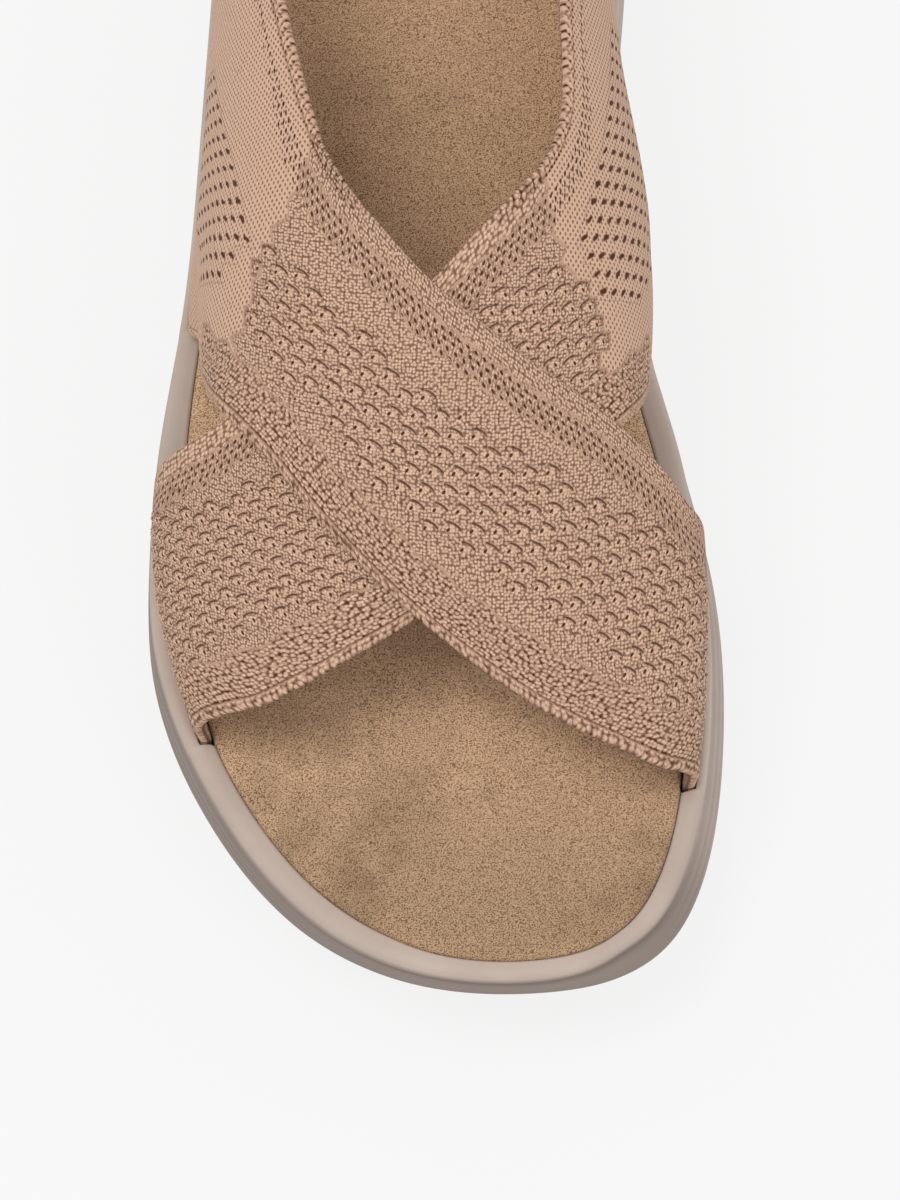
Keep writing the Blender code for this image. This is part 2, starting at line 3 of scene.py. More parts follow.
import bpy
import numpy as np
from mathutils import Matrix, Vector


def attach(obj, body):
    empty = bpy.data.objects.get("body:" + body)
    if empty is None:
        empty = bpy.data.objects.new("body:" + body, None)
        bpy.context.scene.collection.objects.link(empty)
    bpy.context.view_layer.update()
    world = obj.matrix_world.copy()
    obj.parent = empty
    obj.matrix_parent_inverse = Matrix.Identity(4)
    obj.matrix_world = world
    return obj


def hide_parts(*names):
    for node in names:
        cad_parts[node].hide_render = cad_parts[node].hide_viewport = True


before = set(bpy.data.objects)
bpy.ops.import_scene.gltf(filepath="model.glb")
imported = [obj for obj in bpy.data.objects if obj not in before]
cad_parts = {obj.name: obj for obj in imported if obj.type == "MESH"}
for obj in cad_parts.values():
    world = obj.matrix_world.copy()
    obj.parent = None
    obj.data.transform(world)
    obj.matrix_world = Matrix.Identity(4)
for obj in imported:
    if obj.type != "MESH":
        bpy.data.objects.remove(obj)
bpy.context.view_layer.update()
mm = 0.001
print("frame loaded")


# Helpers for curves and grids

def curveThrough(rows, column, places):
    # A smooth curve through one column of a table, without overshoot between its rows.
    rows = np.asarray(rows, float)
    xs, ys = rows[:, 0], rows[:, column]
    steps = np.diff(xs)
    slopes = np.diff(ys) / steps
    tangents = np.zeros(len(xs))
    tangents[0], tangents[-1] = slopes[0], slopes[-1]
    for i in range(1, len(xs) - 1):
        if slopes[i - 1] * slopes[i] > 0:
            near = 2 * steps[i] + steps[i - 1]
            far = steps[i] + 2 * steps[i - 1]
            tangents[i] = (near + far) / (near / slopes[i - 1] + far / slopes[i])
    x = np.clip(places, xs[0], xs[-1])
    i = np.clip(np.searchsorted(xs, x) - 1, 0, len(xs) - 2)
    s = (x - xs[i]) / steps[i]
    bend = s * s * (3 - 2 * s)
    start = steps[i] * tangents[i] * s * (1 - s) ** 2
    end = steps[i] * tangents[i + 1] * s * s * (s - 1)
    return ys[i] * (1 - bend) + ys[i + 1] * bend + start + end


def ease(value, low, high):
    # 0 below low, 1 above high, smooth between.
    s = np.clip((value - low) / (high - low), 0.0, 1.0)
    return s * s * (3 - 2 * s)


def fourWeights(s):
    return (
        ((-s + 2) * s - 1) * s / 2,
        ((3 * s - 5) * s * s + 2) / 2,
        ((-3 * s + 4) * s + 1) * s / 2,
        (s - 1) * s * s / 2,
    )


def sampleGrid(grid, i, j):
    # Smooth values of a grid between its points.
    tall, wide = grid.shape[:2]
    i = np.clip(i, 0, tall - 1)
    j = np.clip(j, 0, wide - 1)
    i0 = np.minimum(i.astype(int), tall - 2)
    j0 = np.minimum(j.astype(int), wide - 2)
    total = 0
    for a, wa in enumerate(fourWeights(i - i0)):
        ia = np.clip(i0 + a - 1, 0, tall - 1)
        for b, wb in enumerate(fourWeights(j - j0)):
            jb = np.clip(j0 + b - 1, 0, wide - 1)
            total = total + (wa * wb)[..., None] * grid[ia, jb]
    return total


def makePiece(name, points, faces, node, loose=None):
    # One mesh piece. It rides on the root and stands for a solid. loose holds attributes.
    data = bpy.data.meshes.new(name)
    points = np.asarray(points, float).reshape(-1, 3)
    data.vertices.add(len(points))
    data.vertices.foreach_set("co", points.astype(np.float32).ravel())
    corners = np.concatenate([np.asarray(f, np.int32).ravel() for f in faces])
    sizes = np.concatenate([np.full(len(f), np.asarray(f).shape[1], np.int32) for f in faces])
    starts = np.concatenate([[0], np.cumsum(sizes)[:-1]]).astype(np.int32)
    data.loops.add(len(corners))
    data.loops.foreach_set("vertex_index", corners)
    data.polygons.add(len(sizes))
    data.polygons.foreach_set("loop_start", starts)
    data.polygons.foreach_set("loop_total", sizes)
    data.update(calc_edges=True)
    data.validate()
    for key, values in (loose or {}).items():
        flat = np.asarray(values, np.float32)
        kind = "FLOAT_VECTOR" if flat.ndim == 2 else "FLOAT"
        layer = data.attributes.new(key, kind, "POINT")
        layer.data.foreach_set("vector" if flat.ndim == 2 else "value", flat.ravel())
    data.shade_smooth()
    thing = bpy.data.objects.new(name, data)
    bpy.context.scene.collection.objects.link(thing)
    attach(thing, "root")
    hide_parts(node)
    print(name, "triangles", int((sizes - 2).sum()))
    return thing


def quadsOf(rows, columns, closed, first=0):
    # Quads of a grid of points, row by row. Closed grids join the last column to the first.
    index = first + np.arange(rows * columns).reshape(rows, columns)
    if closed:
        index = np.concatenate([index, index[:, :1]], 1)
    a, b = index[:-1, :-1], index[:-1, 1:]
    c, d = index[1:, 1:], index[1:, :-1]
    return np.stack([a, b, c, d], -1).reshape(-1, 4)


# Form of the sole, the same as the solids' own

sole = {
    "length": 0.258,
    "ballWidth": 0.098,
    "foreHeight": 0.025,
    "heelLift": 0.013,
    "toeSpring": 0.0095,
    "archLift": 0.0015,
    "outsoleThick": 0.0034,
    "lugDepth": 0.0016,
    "lugPitch": 0.0115,
    "lugGap": 0.0030,
    "recess": 0.0062,
    "crown": 0.0012,
    "heelCup": 0.0022,
    "rimInset": 0.0069,
    "rimFlare": 0.0027,
    "rimDepth": 0.0046,
    "undercut": 0.0062,
    "gap": 0.0003,
    "ribs": 3,
    "ribDepth": 0.00050,
    "ribHalf": 0.00055,
    "grooveDepth": 0.00055,
    "grooveHalf": 0.00060,
    "turns": 1000,
}
outlineRows = [
    (0.000, 0.235, 0.235), (0.006, -0.033, 0.515), (0.014, -0.157, 0.626),
    (0.033, -0.337, 0.760), (0.072, -0.556, 0.882), (0.131, -0.764, 0.962),
    (0.187, -0.901, 0.994), (0.244, -0.982, 1.000), (0.315, -1.000, 0.965),
    (0.408, -0.958, 0.838), (0.470, -0.905, 0.742), (0.540, -0.865, 0.690),
    (0.620, -0.838, 0.657), (0.690, -0.815, 0.661), (0.754, -0.792, 0.686),
    (0.860, -0.700, 0.655), (0.935, -0.545, 0.520), (0.975, -0.365, 0.350),
    (1.000, -0.020, -0.020),
]
treadRise = [(0.000, 1.00), (0.060, 0.48), (0.120, 0.17), (0.190, 0.00), (0.440, 0.00)]
archRise = [
    (0.430, 0.00), (0.560, 1.00), (0.640, 1.00), (0.730, 0.00), (0.940, 0.00), (1.000, 1.60),
]
rimRise = [
    (0.000, 0.17), (0.100, 0.04), (0.220, 0.00), (0.400, 0.14), (0.560, 0.50),
    (0.760, 0.88), (0.900, 1.00), (1.000, 1.00),
]
# station, lateral and medial rim inset, flare and undercut, rim depth, widest level
sideRows = [
    (0.000, 0.56, 0.56, 0.20, 0.20, 1.00, 1.00, 0.60, 0.86),
    (0.020, 0.64, 0.74, 0.12, 0.85, 0.90, 0.85, 0.66, 0.76),
    (0.060, 0.66, 0.86, 0.10, 0.90, 0.70, 0.60, 0.74, 0.62),
    (0.130, 0.68, 0.91, 0.12, 0.90, 0.45, 0.40, 0.90, 0.48),
    (0.225, 0.86, 0.96, 0.18, 0.90, 0.38, 0.36, 1.00, 0.38),
    (0.330, 0.90, 0.94, 0.22, 0.80, 0.36, 0.36, 1.00, 0.36),
    (0.400, 0.76, 0.84, 0.20, 0.40, 0.34, 0.34, 1.00, 0.36),
    (0.460, 0.66, 0.70, 0.16, 0.20, 0.34, 0.34, 1.05, 0.36),
    (0.560, 0.62, 0.62, 0.15, 0.16, 0.34, 0.34, 1.05, 0.36),
    (0.800, 0.62, 0.62, 0.15, 0.16, 0.36, 0.36, 1.05, 0.36),
    (1.000, 0.70, 0.70, 0.18, 0.18, 0.45, 0.45, 1.05, 0.40),
]
rimSection = [(0.0, 0.0, 0.72), (1.0, 0.08, 0.36), (2.0, 0.30, 0.08), (3.0, 0.62, 0.0),
              (4.0, 0.90, 0.01), (5.0, 1.0, 0.08)]
# side, first and last station; the rear ones begin where the straps pass the rim's top
sockets = [
    ("lateral", 0.172, 0.328), ("medial", 0.138, 0.298),
    ("lateral", 0.461, 0.790), ("medial", 0.439, 0.790),
]


def turnOf(share):
    return np.arccos(np.clip(1 - 2 * np.asarray(share, float), -1, 1))


def shareOf(turn):
    return (1 - np.cos(turn)) / 2


def splineRound():
    # The closed smooth curve of half widths over the turn: knots, gaps, values and bends.
    lateral = [(float(turnOf(r[0])), r[1]) for r in outlineRows]
    medial = [(2 * math.pi - float(turnOf(r[0])), r[2]) for r in reversed(outlineRows[1:-1])]
    knots = np.array([k for k, _ in lateral + medial])
    values = np.array([v for _, v in lateral + medial]) * sole["ballWidth"] / 2
    n = len(knots)
    gaps = np.array([(knots[(i + 1) % n] - knots[i]) % (2 * math.pi) for i in range(n)])
    matrix, right = np.zeros((n, n)), np.zeros(n)
    for i in range(n):
        before, after = gaps[i - 1], gaps[i]
        matrix[i, i - 1] = before
        matrix[i, i] = 2 * (before + after)
        matrix[i, (i + 1) % n] = after
        rise = (values[(i + 1) % n] - values[i]) / after
        fall = (values[i] - values[i - 1]) / before
        right[i] = 6 * (rise - fall)
    return knots, gaps, values, np.linalg.solve(matrix, right)


outlineKnots, outlineGaps, outlineValues, outlineBends = splineRound()


def outlineAt(turns):
    # Points and outward directions of the sole's widest outline, 0 at the toe.
    turns = np.asarray(turns, float) % (2 * math.pi)
    n = len(outlineKnots)
    i = np.clip(np.searchsorted(outlineKnots, turns + 1e-12, side="right") - 1, 0, n - 1)
    j = (i + 1) % n
    gap = outlineGaps[i]
    a = (turns - outlineKnots[i]) / gap
    b = 1 - a
    x0, x1 = outlineValues[i], outlineValues[j]
    m0, m1 = outlineBends[i], outlineBends[j]
    x = b * x0 + a * x1 + ((b ** 3 - b) * m0 + (a ** 3 - a) * m1) * gap * gap / 6
    dx = (x1 - x0) / gap + ((3 * a * a - 1) * m1 - (3 * b * b - 1) * m0) * gap / 6
    dy = sole["length"] / 2 * np.sin(turns)
    away = np.stack([-dy, dx], -1)
    away /= np.linalg.norm(away, axis=-1, keepdims=True)
    y = sole["length"] * (shareOf(turns) - 0.5)
    return np.stack([x, y], -1), away


def bySide(turns, lateralColumn, medialColumn):
    shares = shareOf(turns)
    onLateral = (np.asarray(turns) % (2 * math.pi)) <= math.pi
    lateral = curveThrough(sideRows, lateralColumn, shares)
    medial = curveThrough(sideRows, medialColumn, shares)
    return np.where(onLateral, lateral, medial)


def rimInset(turns):
    return sole["rimInset"] * bySide(turns, 1, 2)


def rimFlare(turns):
    return sole["rimFlare"] * bySide(turns, 3, 4)


def undercut(turns):
    return sole["undercut"] * bySide(turns, 5, 6)


def treadZ(shares):
    spring = sole["toeSpring"] * curveThrough(treadRise, 1, shares)
    return spring + sole["archLift"] * curveThrough(archRise, 1, shares)


def rimZ(shares):
    return sole["foreHeight"] + sole["heelLift"] * curveThrough(rimRise, 1, shares)


def recessZ(shares):
    return rimZ(shares) - sole["recess"]


def inward(turns, inset, z):
    points, away = outlineAt(turns)
    return np.column_stack([points - away * np.asarray(inset)[:, None], z])


# The last that the straps lie on

last = {
    "heelAxis": 0.853,
    "heelTurn": 0.200,
    "power": 2.4,
    "instep": 0.057,
    "wall": 0.0020,
    "sink": 0.0003,
    "drawnWidth": 0.55,
    "firstStation": 0.110,
    "lastStation": 1.065,
    "stations": 320,
    "girths": 201,
}
# station, ridge sideways, ridge height, lateral fullness, medial fullness
lastRows = [
    (0.080, 0.020, 0.330, 0.020, 0.020),
    (0.206, -0.050, 0.500, 0.055, 0.045),
    (0.300, -0.045, 0.730, 0.078, 0.062),
    (0.400, -0.020, 0.930, 0.040, 0.085),
    (0.490, -0.010, 1.030, 0.012, 0.095),
    (0.610, -0.040, 1.030, 0.015, 0.055),
    (0.720, -0.040, 1.000, 0.018, 0.025),
    (0.853, -0.030, 0.960, 0.020, 0.020),
    (1.053, -0.030, 0.900, 0.020, 0.020),
]
# front station and girth, back station and girth, lift over the other strap, draw of the edge
overRows = [
    (0.138, 1.000, 0.298, 1.000, 0.0, 0.00),
    (0.138, 0.925, 0.298, 0.925, 0.0, 0.00),
    (0.130, 0.830, 0.299, 0.830, 0.0, 0.01),
    (0.138, 0.740, 0.316, 0.760, 0.0, 0.01),
    (0.149, 0.665, 0.335, 0.680, 0.6, 0.00),
    (0.169, 0.594, 0.352, 0.610, 1.0, 0.00),
    (0.207, 0.497, 0.376, 0.545, 1.0, 0.00),
    (0.233, 0.442, 0.396, 0.502, 1.0, 0.00),
    (0.268, 0.385, 0.425, 0.460, 1.0, 0.00),
    (0.304, 0.338, 0.452, 0.427, 1.0, 0.00),
    (0.334, 0.290, 0.480, 0.402, 0.8, 0.01),
    (0.375, 0.200, 0.515, 0.383, 0.3, 0.10),
    (0.425, 0.110, 0.553, 0.367, 0.0, 0.10),
    (0.458, 0.040, 0.592, 0.352, 0.0, 0.00),
    (0.478, 0.000, 0.630, 0.335, 0.0, 0.00),
    (0.620, 0.000, 0.690, 0.305, 0.0, 0.00),
    (0.750, 0.000, 0.755, 0.282, 0.0, 0.00),
    (0.785, 0.050, 0.800, 0.275, 0.0, 0.00),
    (0.830, 0.120, 0.850, 0.270, 0.0, 0.00),
    (0.875, 0.140, 0.875, 0.270, 0.0, 0.00),
    (0.920, 0.150, 0.920, 0.270, 0.0, 0.00),
    (0.965, 0.153, 0.965, 0.270, 0.0, 0.00),
    (1.010, 0.155, 1.010, 0.270, 0.0, 0.00),
    (1.053, 0.155, 1.053, 0.270, 0.0, 0.00),
]
underRows = [
    (0.172, 0.000, 0.328, 0.000, 0.0, 0.00),
    (0.172, 0.075, 0.328, 0.075, 0.0, 0.00),
    (0.166, 0.170, 0.328, 0.180, 0.0, 0.01),
    (0.163, 0.250, 0.329, 0.243, 0.0, 0.01),
    (0.171, 0.332, 0.340, 0.320, 0.0, 0.00),
    (0.185, 0.407, 0.358, 0.400, 0.0, 0.00),
    (0.207, 0.494, 0.378, 0.465, 0.0, 0.00),
    (0.235, 0.560, 0.396, 0.502, 0.0, 0.00),
    (0.265, 0.620, 0.422, 0.539, 0.0, 0.00),
    (0.297, 0.670, 0.450, 0.578, 0.0, 0.00),
    (0.329, 0.717, 0.485, 0.620, 0.0, 0.01),
    (0.368, 0.800, 0.524, 0.644, 0.0, 0.10),
    (0.410, 0.890, 0.561, 0.653, 0.0, 0.11),
    (0.436, 0.958, 0.598, 0.659, 0.0, 0.00),
    (0.455, 1.000, 0.640, 0.675, 0.0, 0.00),
    (0.620, 1.000, 0.690, 0.700, 0.0, 0.00),
    (0.750, 1.000, 0.755, 0.718, 0.0, 0.00),
    (0.785, 0.950, 0.800, 0.725, 0.0, 0.00),
    (0.830, 0.880, 0.850, 0.730, 0.0, 0.00),
    (0.875, 0.860, 0.875, 0.730, 0.0, 0.00),
    (0.920, 0.850, 0.920, 0.730, 0.0, 0.00),
    (0.965, 0.847, 0.965, 0.730, 0.0, 0.00),
    (1.010, 0.845, 1.010, 0.730, 0.0, 0.00),
    (1.053, 0.845, 1.053, 0.730, 0.0, 0.00),
]


def insoleEdge():
    turns = np.linspace(0, 2 * math.pi, 1440, endpoint=False)
    points, away = outlineAt(turns)
    return points - away * rimInset(turns)[:, None]


innerEdge = insoleEdge()


def reach(axis, direction):
    # Distance from a point inside the sole to the insole's edge, along a direction.
    away = innerEdge - axis
    side = away[:, 0] * direction[1] - away[:, 1] * direction[0]
    ahead = away @ direction
    following = np.roll(side, -1)
    i = np.nonzero((side * following <= 0) & (ahead > 0))[0][0]
    part = side[i] / (side[i] - following[i])
    return ahead[i] * (1 - part) + ahead[(i + 1) % len(ahead)] * part


def halfSection(side, station, alongs):
    # Points of one half of the last at a station, side -1 lateral or 1 medial, and its length.
    turned = max(0.0, station - last["heelAxis"]) / last["heelTurn"] * math.pi / 2
    share = min(station, last["heelAxis"])
    ridgeX = float(curveThrough(lastRows, 1, share)) * sole["ballWidth"] / 2
    axis = np.array([ridgeX, sole["length"] * (share - 0.5)])
    direction = np.array([side * math.cos(turned), math.sin(turned)])
    base = reach(axis, direction)
    behind = min(share + max(0.0, station - last["heelAxis"]), 1.0)
    ridge = last["instep"] * float(curveThrough(lastRows, 2, station))
    fullness = last["instep"] * float(curveThrough(lastRows, 3 if side < 0 else 4, station))
    angles = np.linspace(0, math.pi / 2, 97)
    rise = np.sin(angles) ** (2 / last["power"])
    swell = np.where((rise > 0) & (rise < 1), np.abs(np.sin(math.pi * rise)) ** 1.5, 0)
    out = base * np.abs(np.cos(angles)) ** (2 / last["power"]) + fullness * swell
    up = float(rimZ(behind)) + ridge * rise
    out = np.concatenate([[base], out])
    up = np.concatenate([[float(recessZ(behind)) + sole["gap"]], up])
    lengths = np.concatenate([[0.0], np.cumsum(np.hypot(np.diff(out), np.diff(up)))])
    d = np.interp(alongs, lengths / lengths[-1], out)
    z = np.interp(alongs, lengths / lengths[-1], up)
    place = axis + direction * d[:, None]
    return np.column_stack([place, z]), lengths[-1]


def lastSurface():
    # Grid over station and girth: point, outward normal, and lengths round and along the last.
    stations = np.linspace(last["firstStation"], last["lastStation"], last["stations"])
    girths = np.linspace(0, 1, last["girths"])
    half = last["girths"] // 2
    grid = np.zeros((len(stations), len(girths), 3))
    roundAt = np.zeros((len(stations), len(girths), 1))
    for i, station in enumerate(stations):
        lateral, lateralLength = halfSection(-1, station, 2 * girths[:half + 1])
        medial, medialLength = halfSection(1, station, 2 * (1 - girths[half:]))
        grid[i, :half + 1] = lateral
        grid[i, half:] = medial
        roundAt[i, :half + 1, 0] = -(1 - 2 * girths[:half + 1]) * lateralLength
        roundAt[i, half:, 0] = (2 * girths[half:] - 1) * medialLength
    alongAt = np.zeros_like(roundAt)
    steps = np.linalg.norm(np.diff(grid, axis=0), axis=-1)
    alongAt[1:, :, 0] = np.cumsum(steps, 0)
    normal = np.cross(np.gradient(grid, axis=1), np.gradient(grid, axis=0))
    normal /= np.maximum(np.linalg.norm(normal, axis=-1, keepdims=True), 1e-12)
    return np.concatenate([grid, normal, roundAt, alongAt], -1)


lastGrid = lastSurface()
print("last ready")


# Camera, at the photograph's angle, and how a point falls on the photograph

shot = {
    "elevation": 65.0,
    "distance": 1.10,
    "target": (0.0025, -0.0564, 0.0200),
    "lens": 194.7,
    "sensor": 36.0,
    "width": 900,
    "height": 1200,
}


def onPhoto(points):
    # Where points fall on the photograph, in its pixels.
    e = math.radians(shot["elevation"])
    back = np.array([0, -math.cos(e), math.sin(e)])
    up = np.array([0, math.sin(e), math.cos(e)])
    eye = np.array(shot["target"]) + back * shot["distance"]
    away = np.asarray(points) - eye
    depth = -away @ back
    scale = shot["lens"] / shot["sensor"] * shot["height"]
    x = shot["width"] / 2 + away[..., 0] / depth * scale
    y = shot["height"] / 2 - away @ up / depth * scale
    return x, y


pixel = shot["distance"] / (shot["lens"] / shot["sensor"] * shot["height"])


# Relief of the knit

knit = {
    "rowPitch": 3.25 * mm,       # bump rows, toe to heel
    "bumpPitch": 3.70 * mm,      # bumps along a row
    "rowShift": 0.40,            # how far each row sets off from the one before, in bumps
    "seedPitch": 1.50 * mm,
    "collarPitch": 1.7 * mm,     # rolled loops of the collar edge
    "edgeRadius": 1.0 * mm,
    "cellShift": 0.095,          # from a bump's dark eye to the middle of its crown
    "relief": 0.30 * mm,         # how deep the knit's surface lies inside the solid's face
    "seedRows": 0.93,            # seed rows, in seeds
    "bumpWander": 0.10 * mm,     # how far bumps and seeds stray from their places
    "seedWander": 0.26 * mm,
    # hollowReach and hollowDepth set the painted shade in the relief's hollows
    "hollowReach": 3,            # vertices round a place whose mean shows how hollow it is
    "hollowDepth": 0.20 * mm,
    "stitchJump": 1.2 * mm,      # from one vertex to the next, where two knits meet
    "innerColumns": 26,
    "border": (0, 0.06, 0.18, 0.34, 0.55, 0.80, 1.08),    # columns close to an edge, in mm
}
# Relief of the straps: heights, and from where to where each zone goes, from its edge. A wave is
# its height and length.
form = {
    "plain": 0.36 * mm,
    "bumpFloor": 0.20 * mm,
    "seedFloor": 0.26 * mm,
    "seedTall": 0.30,
    "seedStart": (1.1 * mm, 1.5 * mm),
    "seedFade": 0.9 * mm,
    "seedWave": (0.5 * mm, 1.5 * mm),
    "seedLastRow": (10.6, 11.6),
    "rollEnd": (1.7 * mm, 2.1 * mm),
    "roll": 0.44 * mm,
    "rollSlant": 0.10 * mm,
    "rollPitch": 1.06 * mm,
    "groove": (2.0 * mm, 0.25 * mm, 0.12 * mm),
    "foldWave": (0.4 * mm, 1.1 * mm),
    "collarRows": (8.2, 9.4),
    "collarEnd": (1.5 * mm, 1.9 * mm),
    "collar": 0.10 * mm,
    "collarLoops": 0.20 * mm,
    "collarGroove": (1.9 * mm, 0.30 * mm, 0.20 * mm),
}
# How the bump rows lie on the photograph, in its pixels, and how they narrow to the lateral side.
rowChart = {
    "middle": 495,
    "level": 470,
    "half": 195,
    "sag": 24,
    "narrowing": 0.10,
    "narrowSpan": 0.04,
}
# One bump, its own yarn loops: along the row, towards the heel, half length, half width,
# turn in degrees and height, all in mm. The dark eye of the bump is at 0, 0.
bumpLoops = [
    (0.42, 0.02, 1.30, 1.12, 20, 0.44),
    (0.80, -0.12, 0.66, 0.56, -40, 0.66),
    (-0.50, 0.38, 0.66, 0.40, 40, 0.58),
    (0.22, 0.84, 0.62, 0.36, -18, 0.62),
    (-1.22, -0.52, 0.52, 0.27, 38, 0.42),
    (-0.72, -0.92, 0.52, 0.25, 42, 0.40),
    (-1.42, -1.08, 0.42, 0.22, 36, 0.34),
    (0.30, -0.80, 0.36, 0.30, 60, 0.46),
    (1.02, -0.98, 0.36, 0.30, 60, 0.42),
    (1.62, -0.66, 0.34, 0.29, 50, 0.40),
    (-0.02, -1.50, 0.34, 0.27, 50, 0.36),
    (0.62, -1.62, 0.34, 0.27, 50, 0.36),
    (1.28, -1.52, 0.34, 0.27, 50, 0.36),
    (-0.66, -1.62, 0.34, 0.26, 50, 0.32),
    (-1.66, 0.16, 0.30, 0.26, 0, 0.42),
    (1.02, 1.22, 0.50, 0.16, -12, 0.40),
]
seedLoops = [(0.00, 0.00, 0.84, 0.58, 30, 0.62)]


def scatter(column, row, turn):
    # A steady random number from -0.5 to 0.5 for one cell of a repeat.
    return np.sin(column * 12.99 + row * 78.23 + turn * 37.7) * 43758.5 % 1.0 - 0.5


def softened(field, reach):
    # Mean of a field over the places round each.
    for axis in (0, 1):
        edges = [(reach + 1, reach) if a == axis else (0, 0) for a in (0, 1)]
        sums = np.cumsum(np.pad(field, edges, "edge"), axis)
        count = field.shape[axis]
        ahead = np.take(sums, np.arange(2 * reach + 1, count + 2 * reach + 1), axis)
        field = (ahead - np.take(sums, np.arange(count), axis)) / (2 * reach + 1)
    return field


def loopsHeight(loops, along, up, pitch, rowPitch, shift, wander):
    # Height of a repeat of loops at places along a row and towards the heel.
    height = np.zeros_like(along)
    nearest = np.round(up / rowPitch)
    for dj in (-1, 0, 1):
        row = nearest + dj
        for x0, y0, longHalf, wideHalf, angle, tall in loops:
            x = along - row * shift * pitch - x0 * mm
            column = np.round(x / pitch)
            x = x - column * pitch + scatter(column, row, 1) * wander
            y = up - row * rowPitch - y0 * mm + scatter(column, row, 2) * wander
            angle = angle + scatter(column, row, 3) * wander / mm * 60
            tall = tall * (1 + scatter(column, row, 4) * wander / mm)
            c, s = np.cos(np.radians(angle)), np.sin(np.radians(angle))
            near = ((x * c + y * s) / (longHalf * mm)) ** 2
            near = near + ((y * c - x * s) / (wideHalf * mm)) ** 2
            height = np.maximum(height, tall * mm * np.sqrt(np.maximum(0, 1 - near)))
    return height


def insideShape(x, y, corners):
    # Which places lie inside a closed shape of corners.
    inside = np.zeros(x.shape, bool)
    for (x0, y0), (x1, y1) in zip(corners, corners[1:] + corners[:1]):
        crosses = (y0 > y) != (y1 > y)
        cut = (x1 - x0) * (y - y0) / ((y1 - y0) or 1e-9) + x0
        inside ^= crosses & (x < cut)
    return inside


# The raised panels on the photograph, in its pixels, charted along the rows' ends.
bumpPanels = {
    "over": [
        (262, 250), (292, 262), (322, 292), (347, 322), (375, 345), (432, 397), (502, 445),
        (575, 485), (637, 515), (690, 557), (712, 600), (712, 720), (672, 716), (645, 690),
        (612, 668), (550, 618), (512, 596), (472, 565), (425, 530), (360, 478), (320, 428),
        (287, 385), (250, 335),
    ],
    "underLateral": [
        (120, 505), (190, 512), (225, 497), (262, 480), (330, 470), (520, 470), (520, 650),
        (400, 600), (300, 612), (235, 640), (196, 672), (120, 720),
    ],
    "underMedial": [
        (455, 330), (470, 305), (505, 285), (560, 268), (598, 300), (604, 345), (600, 480),
        (400, 480),
    ],
}


def strapSheet(rows, firstRow, lastRow, count, dense, columns):
    # A strap's middle sheet as a grid: rows evenly spaced along it, columns across it.
    spaced = np.column_stack([np.arange(len(rows)), np.asarray(rows)])

    def values(places):
        return [curveThrough(spaced, c, places)[:, None] for c in range(1, 7)]

    def spots(station, girth):
        i = (station - last["firstStation"]) / (last["lastStation"] - last["firstStation"])
        return sampleGrid(lastGrid, i * (last["stations"] - 1), girth * (last["girths"] - 1))

    coarse = np.linspace(firstRow, lastRow, 200)
    frontS, frontG, backS, backG, _, _ = values(coarse)
    share = np.linspace(0, 1, 25)[None]
    trial = spots(frontS + (backS - frontS) * share, frontG + (backG - frontG) * share)
    steps = np.linalg.norm(np.diff(trial[..., :3], axis=0), axis=-1).max(1)
    steps = steps * np.interp((coarse[1:] + coarse[:-1]) / 2, *dense)
    lengths = np.concatenate([[0], np.cumsum(steps)])
    places = np.interp(np.linspace(0, lengths[-1], count), lengths, coarse)
    frontS, frontG, backS, backG, lift, draw = values(places)
    trial = spots(frontS + (backS - frontS) * share, frontG + (backG - frontG) * share)
    width = np.linalg.norm(np.diff(trial[..., :3], axis=1), axis=-1).sum(1)[:, None]
    border = np.array(knit["border"]) * mm
    across = np.linspace(0, 1, columns - 2 * len(border) + 2)[None, 1:-1]
    middle = border[-1] + across * (width - 2 * border[-1])
    ends = np.broadcast_to(border, (count, len(border)))
    distance = np.concatenate([ends, middle, (width - ends)[:, ::-1]], 1)
    share = distance / width
    spot = spots(frontS + (backS - frontS) * share, frontG + (backG - frontG) * share)
    drawn = draw * last["instep"] * np.maximum(0, 1 - share / last["drawnWidth"]) ** 2
    raised = lift * (last["wall"] - last["sink"]) - drawn
    place, normal = spot[..., :3], spot[..., 3:6]
    normal = normal / np.maximum(np.linalg.norm(normal, axis=-1, keepdims=True), 1e-9)
    sheet = {
        "row": np.broadcast_to(places[:, None], share.shape),
        "share": share,
        "place": place + normal * raised[..., None],
        "normal": normal,
        "round": spot[..., 6],
        "along": spot[..., 7],
        "front": distance,
        "back": width - distance,
    }
    top = sheet["place"] + normal * last["wall"]
    sheet["x"], sheet["y"] = onPhoto(top)
    return addRuns(sheet)


def addRuns(sheet):
    # Lengths along the strap's front and back edges.
    for key, column in (("frontRun", 0), ("backRun", -1)):
        edge = sheet["place"][:, column] + sheet["normal"][:, column] * last["wall"]
        run = np.concatenate([[0], np.cumsum(np.linalg.norm(np.diff(edge, axis=0), axis=1))])
        sheet[key] = np.broadcast_to(run[:, None], sheet["share"].shape)
    return sheet


def joinSheets(first, second):
    # The second sheet goes on where the first one ends, row for row backwards.
    joined = {key: np.concatenate([first[key], second[key][-2::-1]]) for key in first}
    return addRuns(joined)


def rowLines(sheet):
    # Place along a bump row and towards the heel, in metres, as the rows lie on the photograph.
    aside = sheet["x"] - rowChart["middle"]
    across = aside * pixel
    sag = rowChart["sag"] * pixel * (1 - (aside / rowChart["half"]) ** 2)
    up = (rowChart["level"] - sheet["y"]) * pixel + sag
    narrow = rowChart["narrowing"] * np.clip(-across / rowChart["narrowSpan"], 0, 1)
    return sheet["round"], up / (1.0 - narrow)


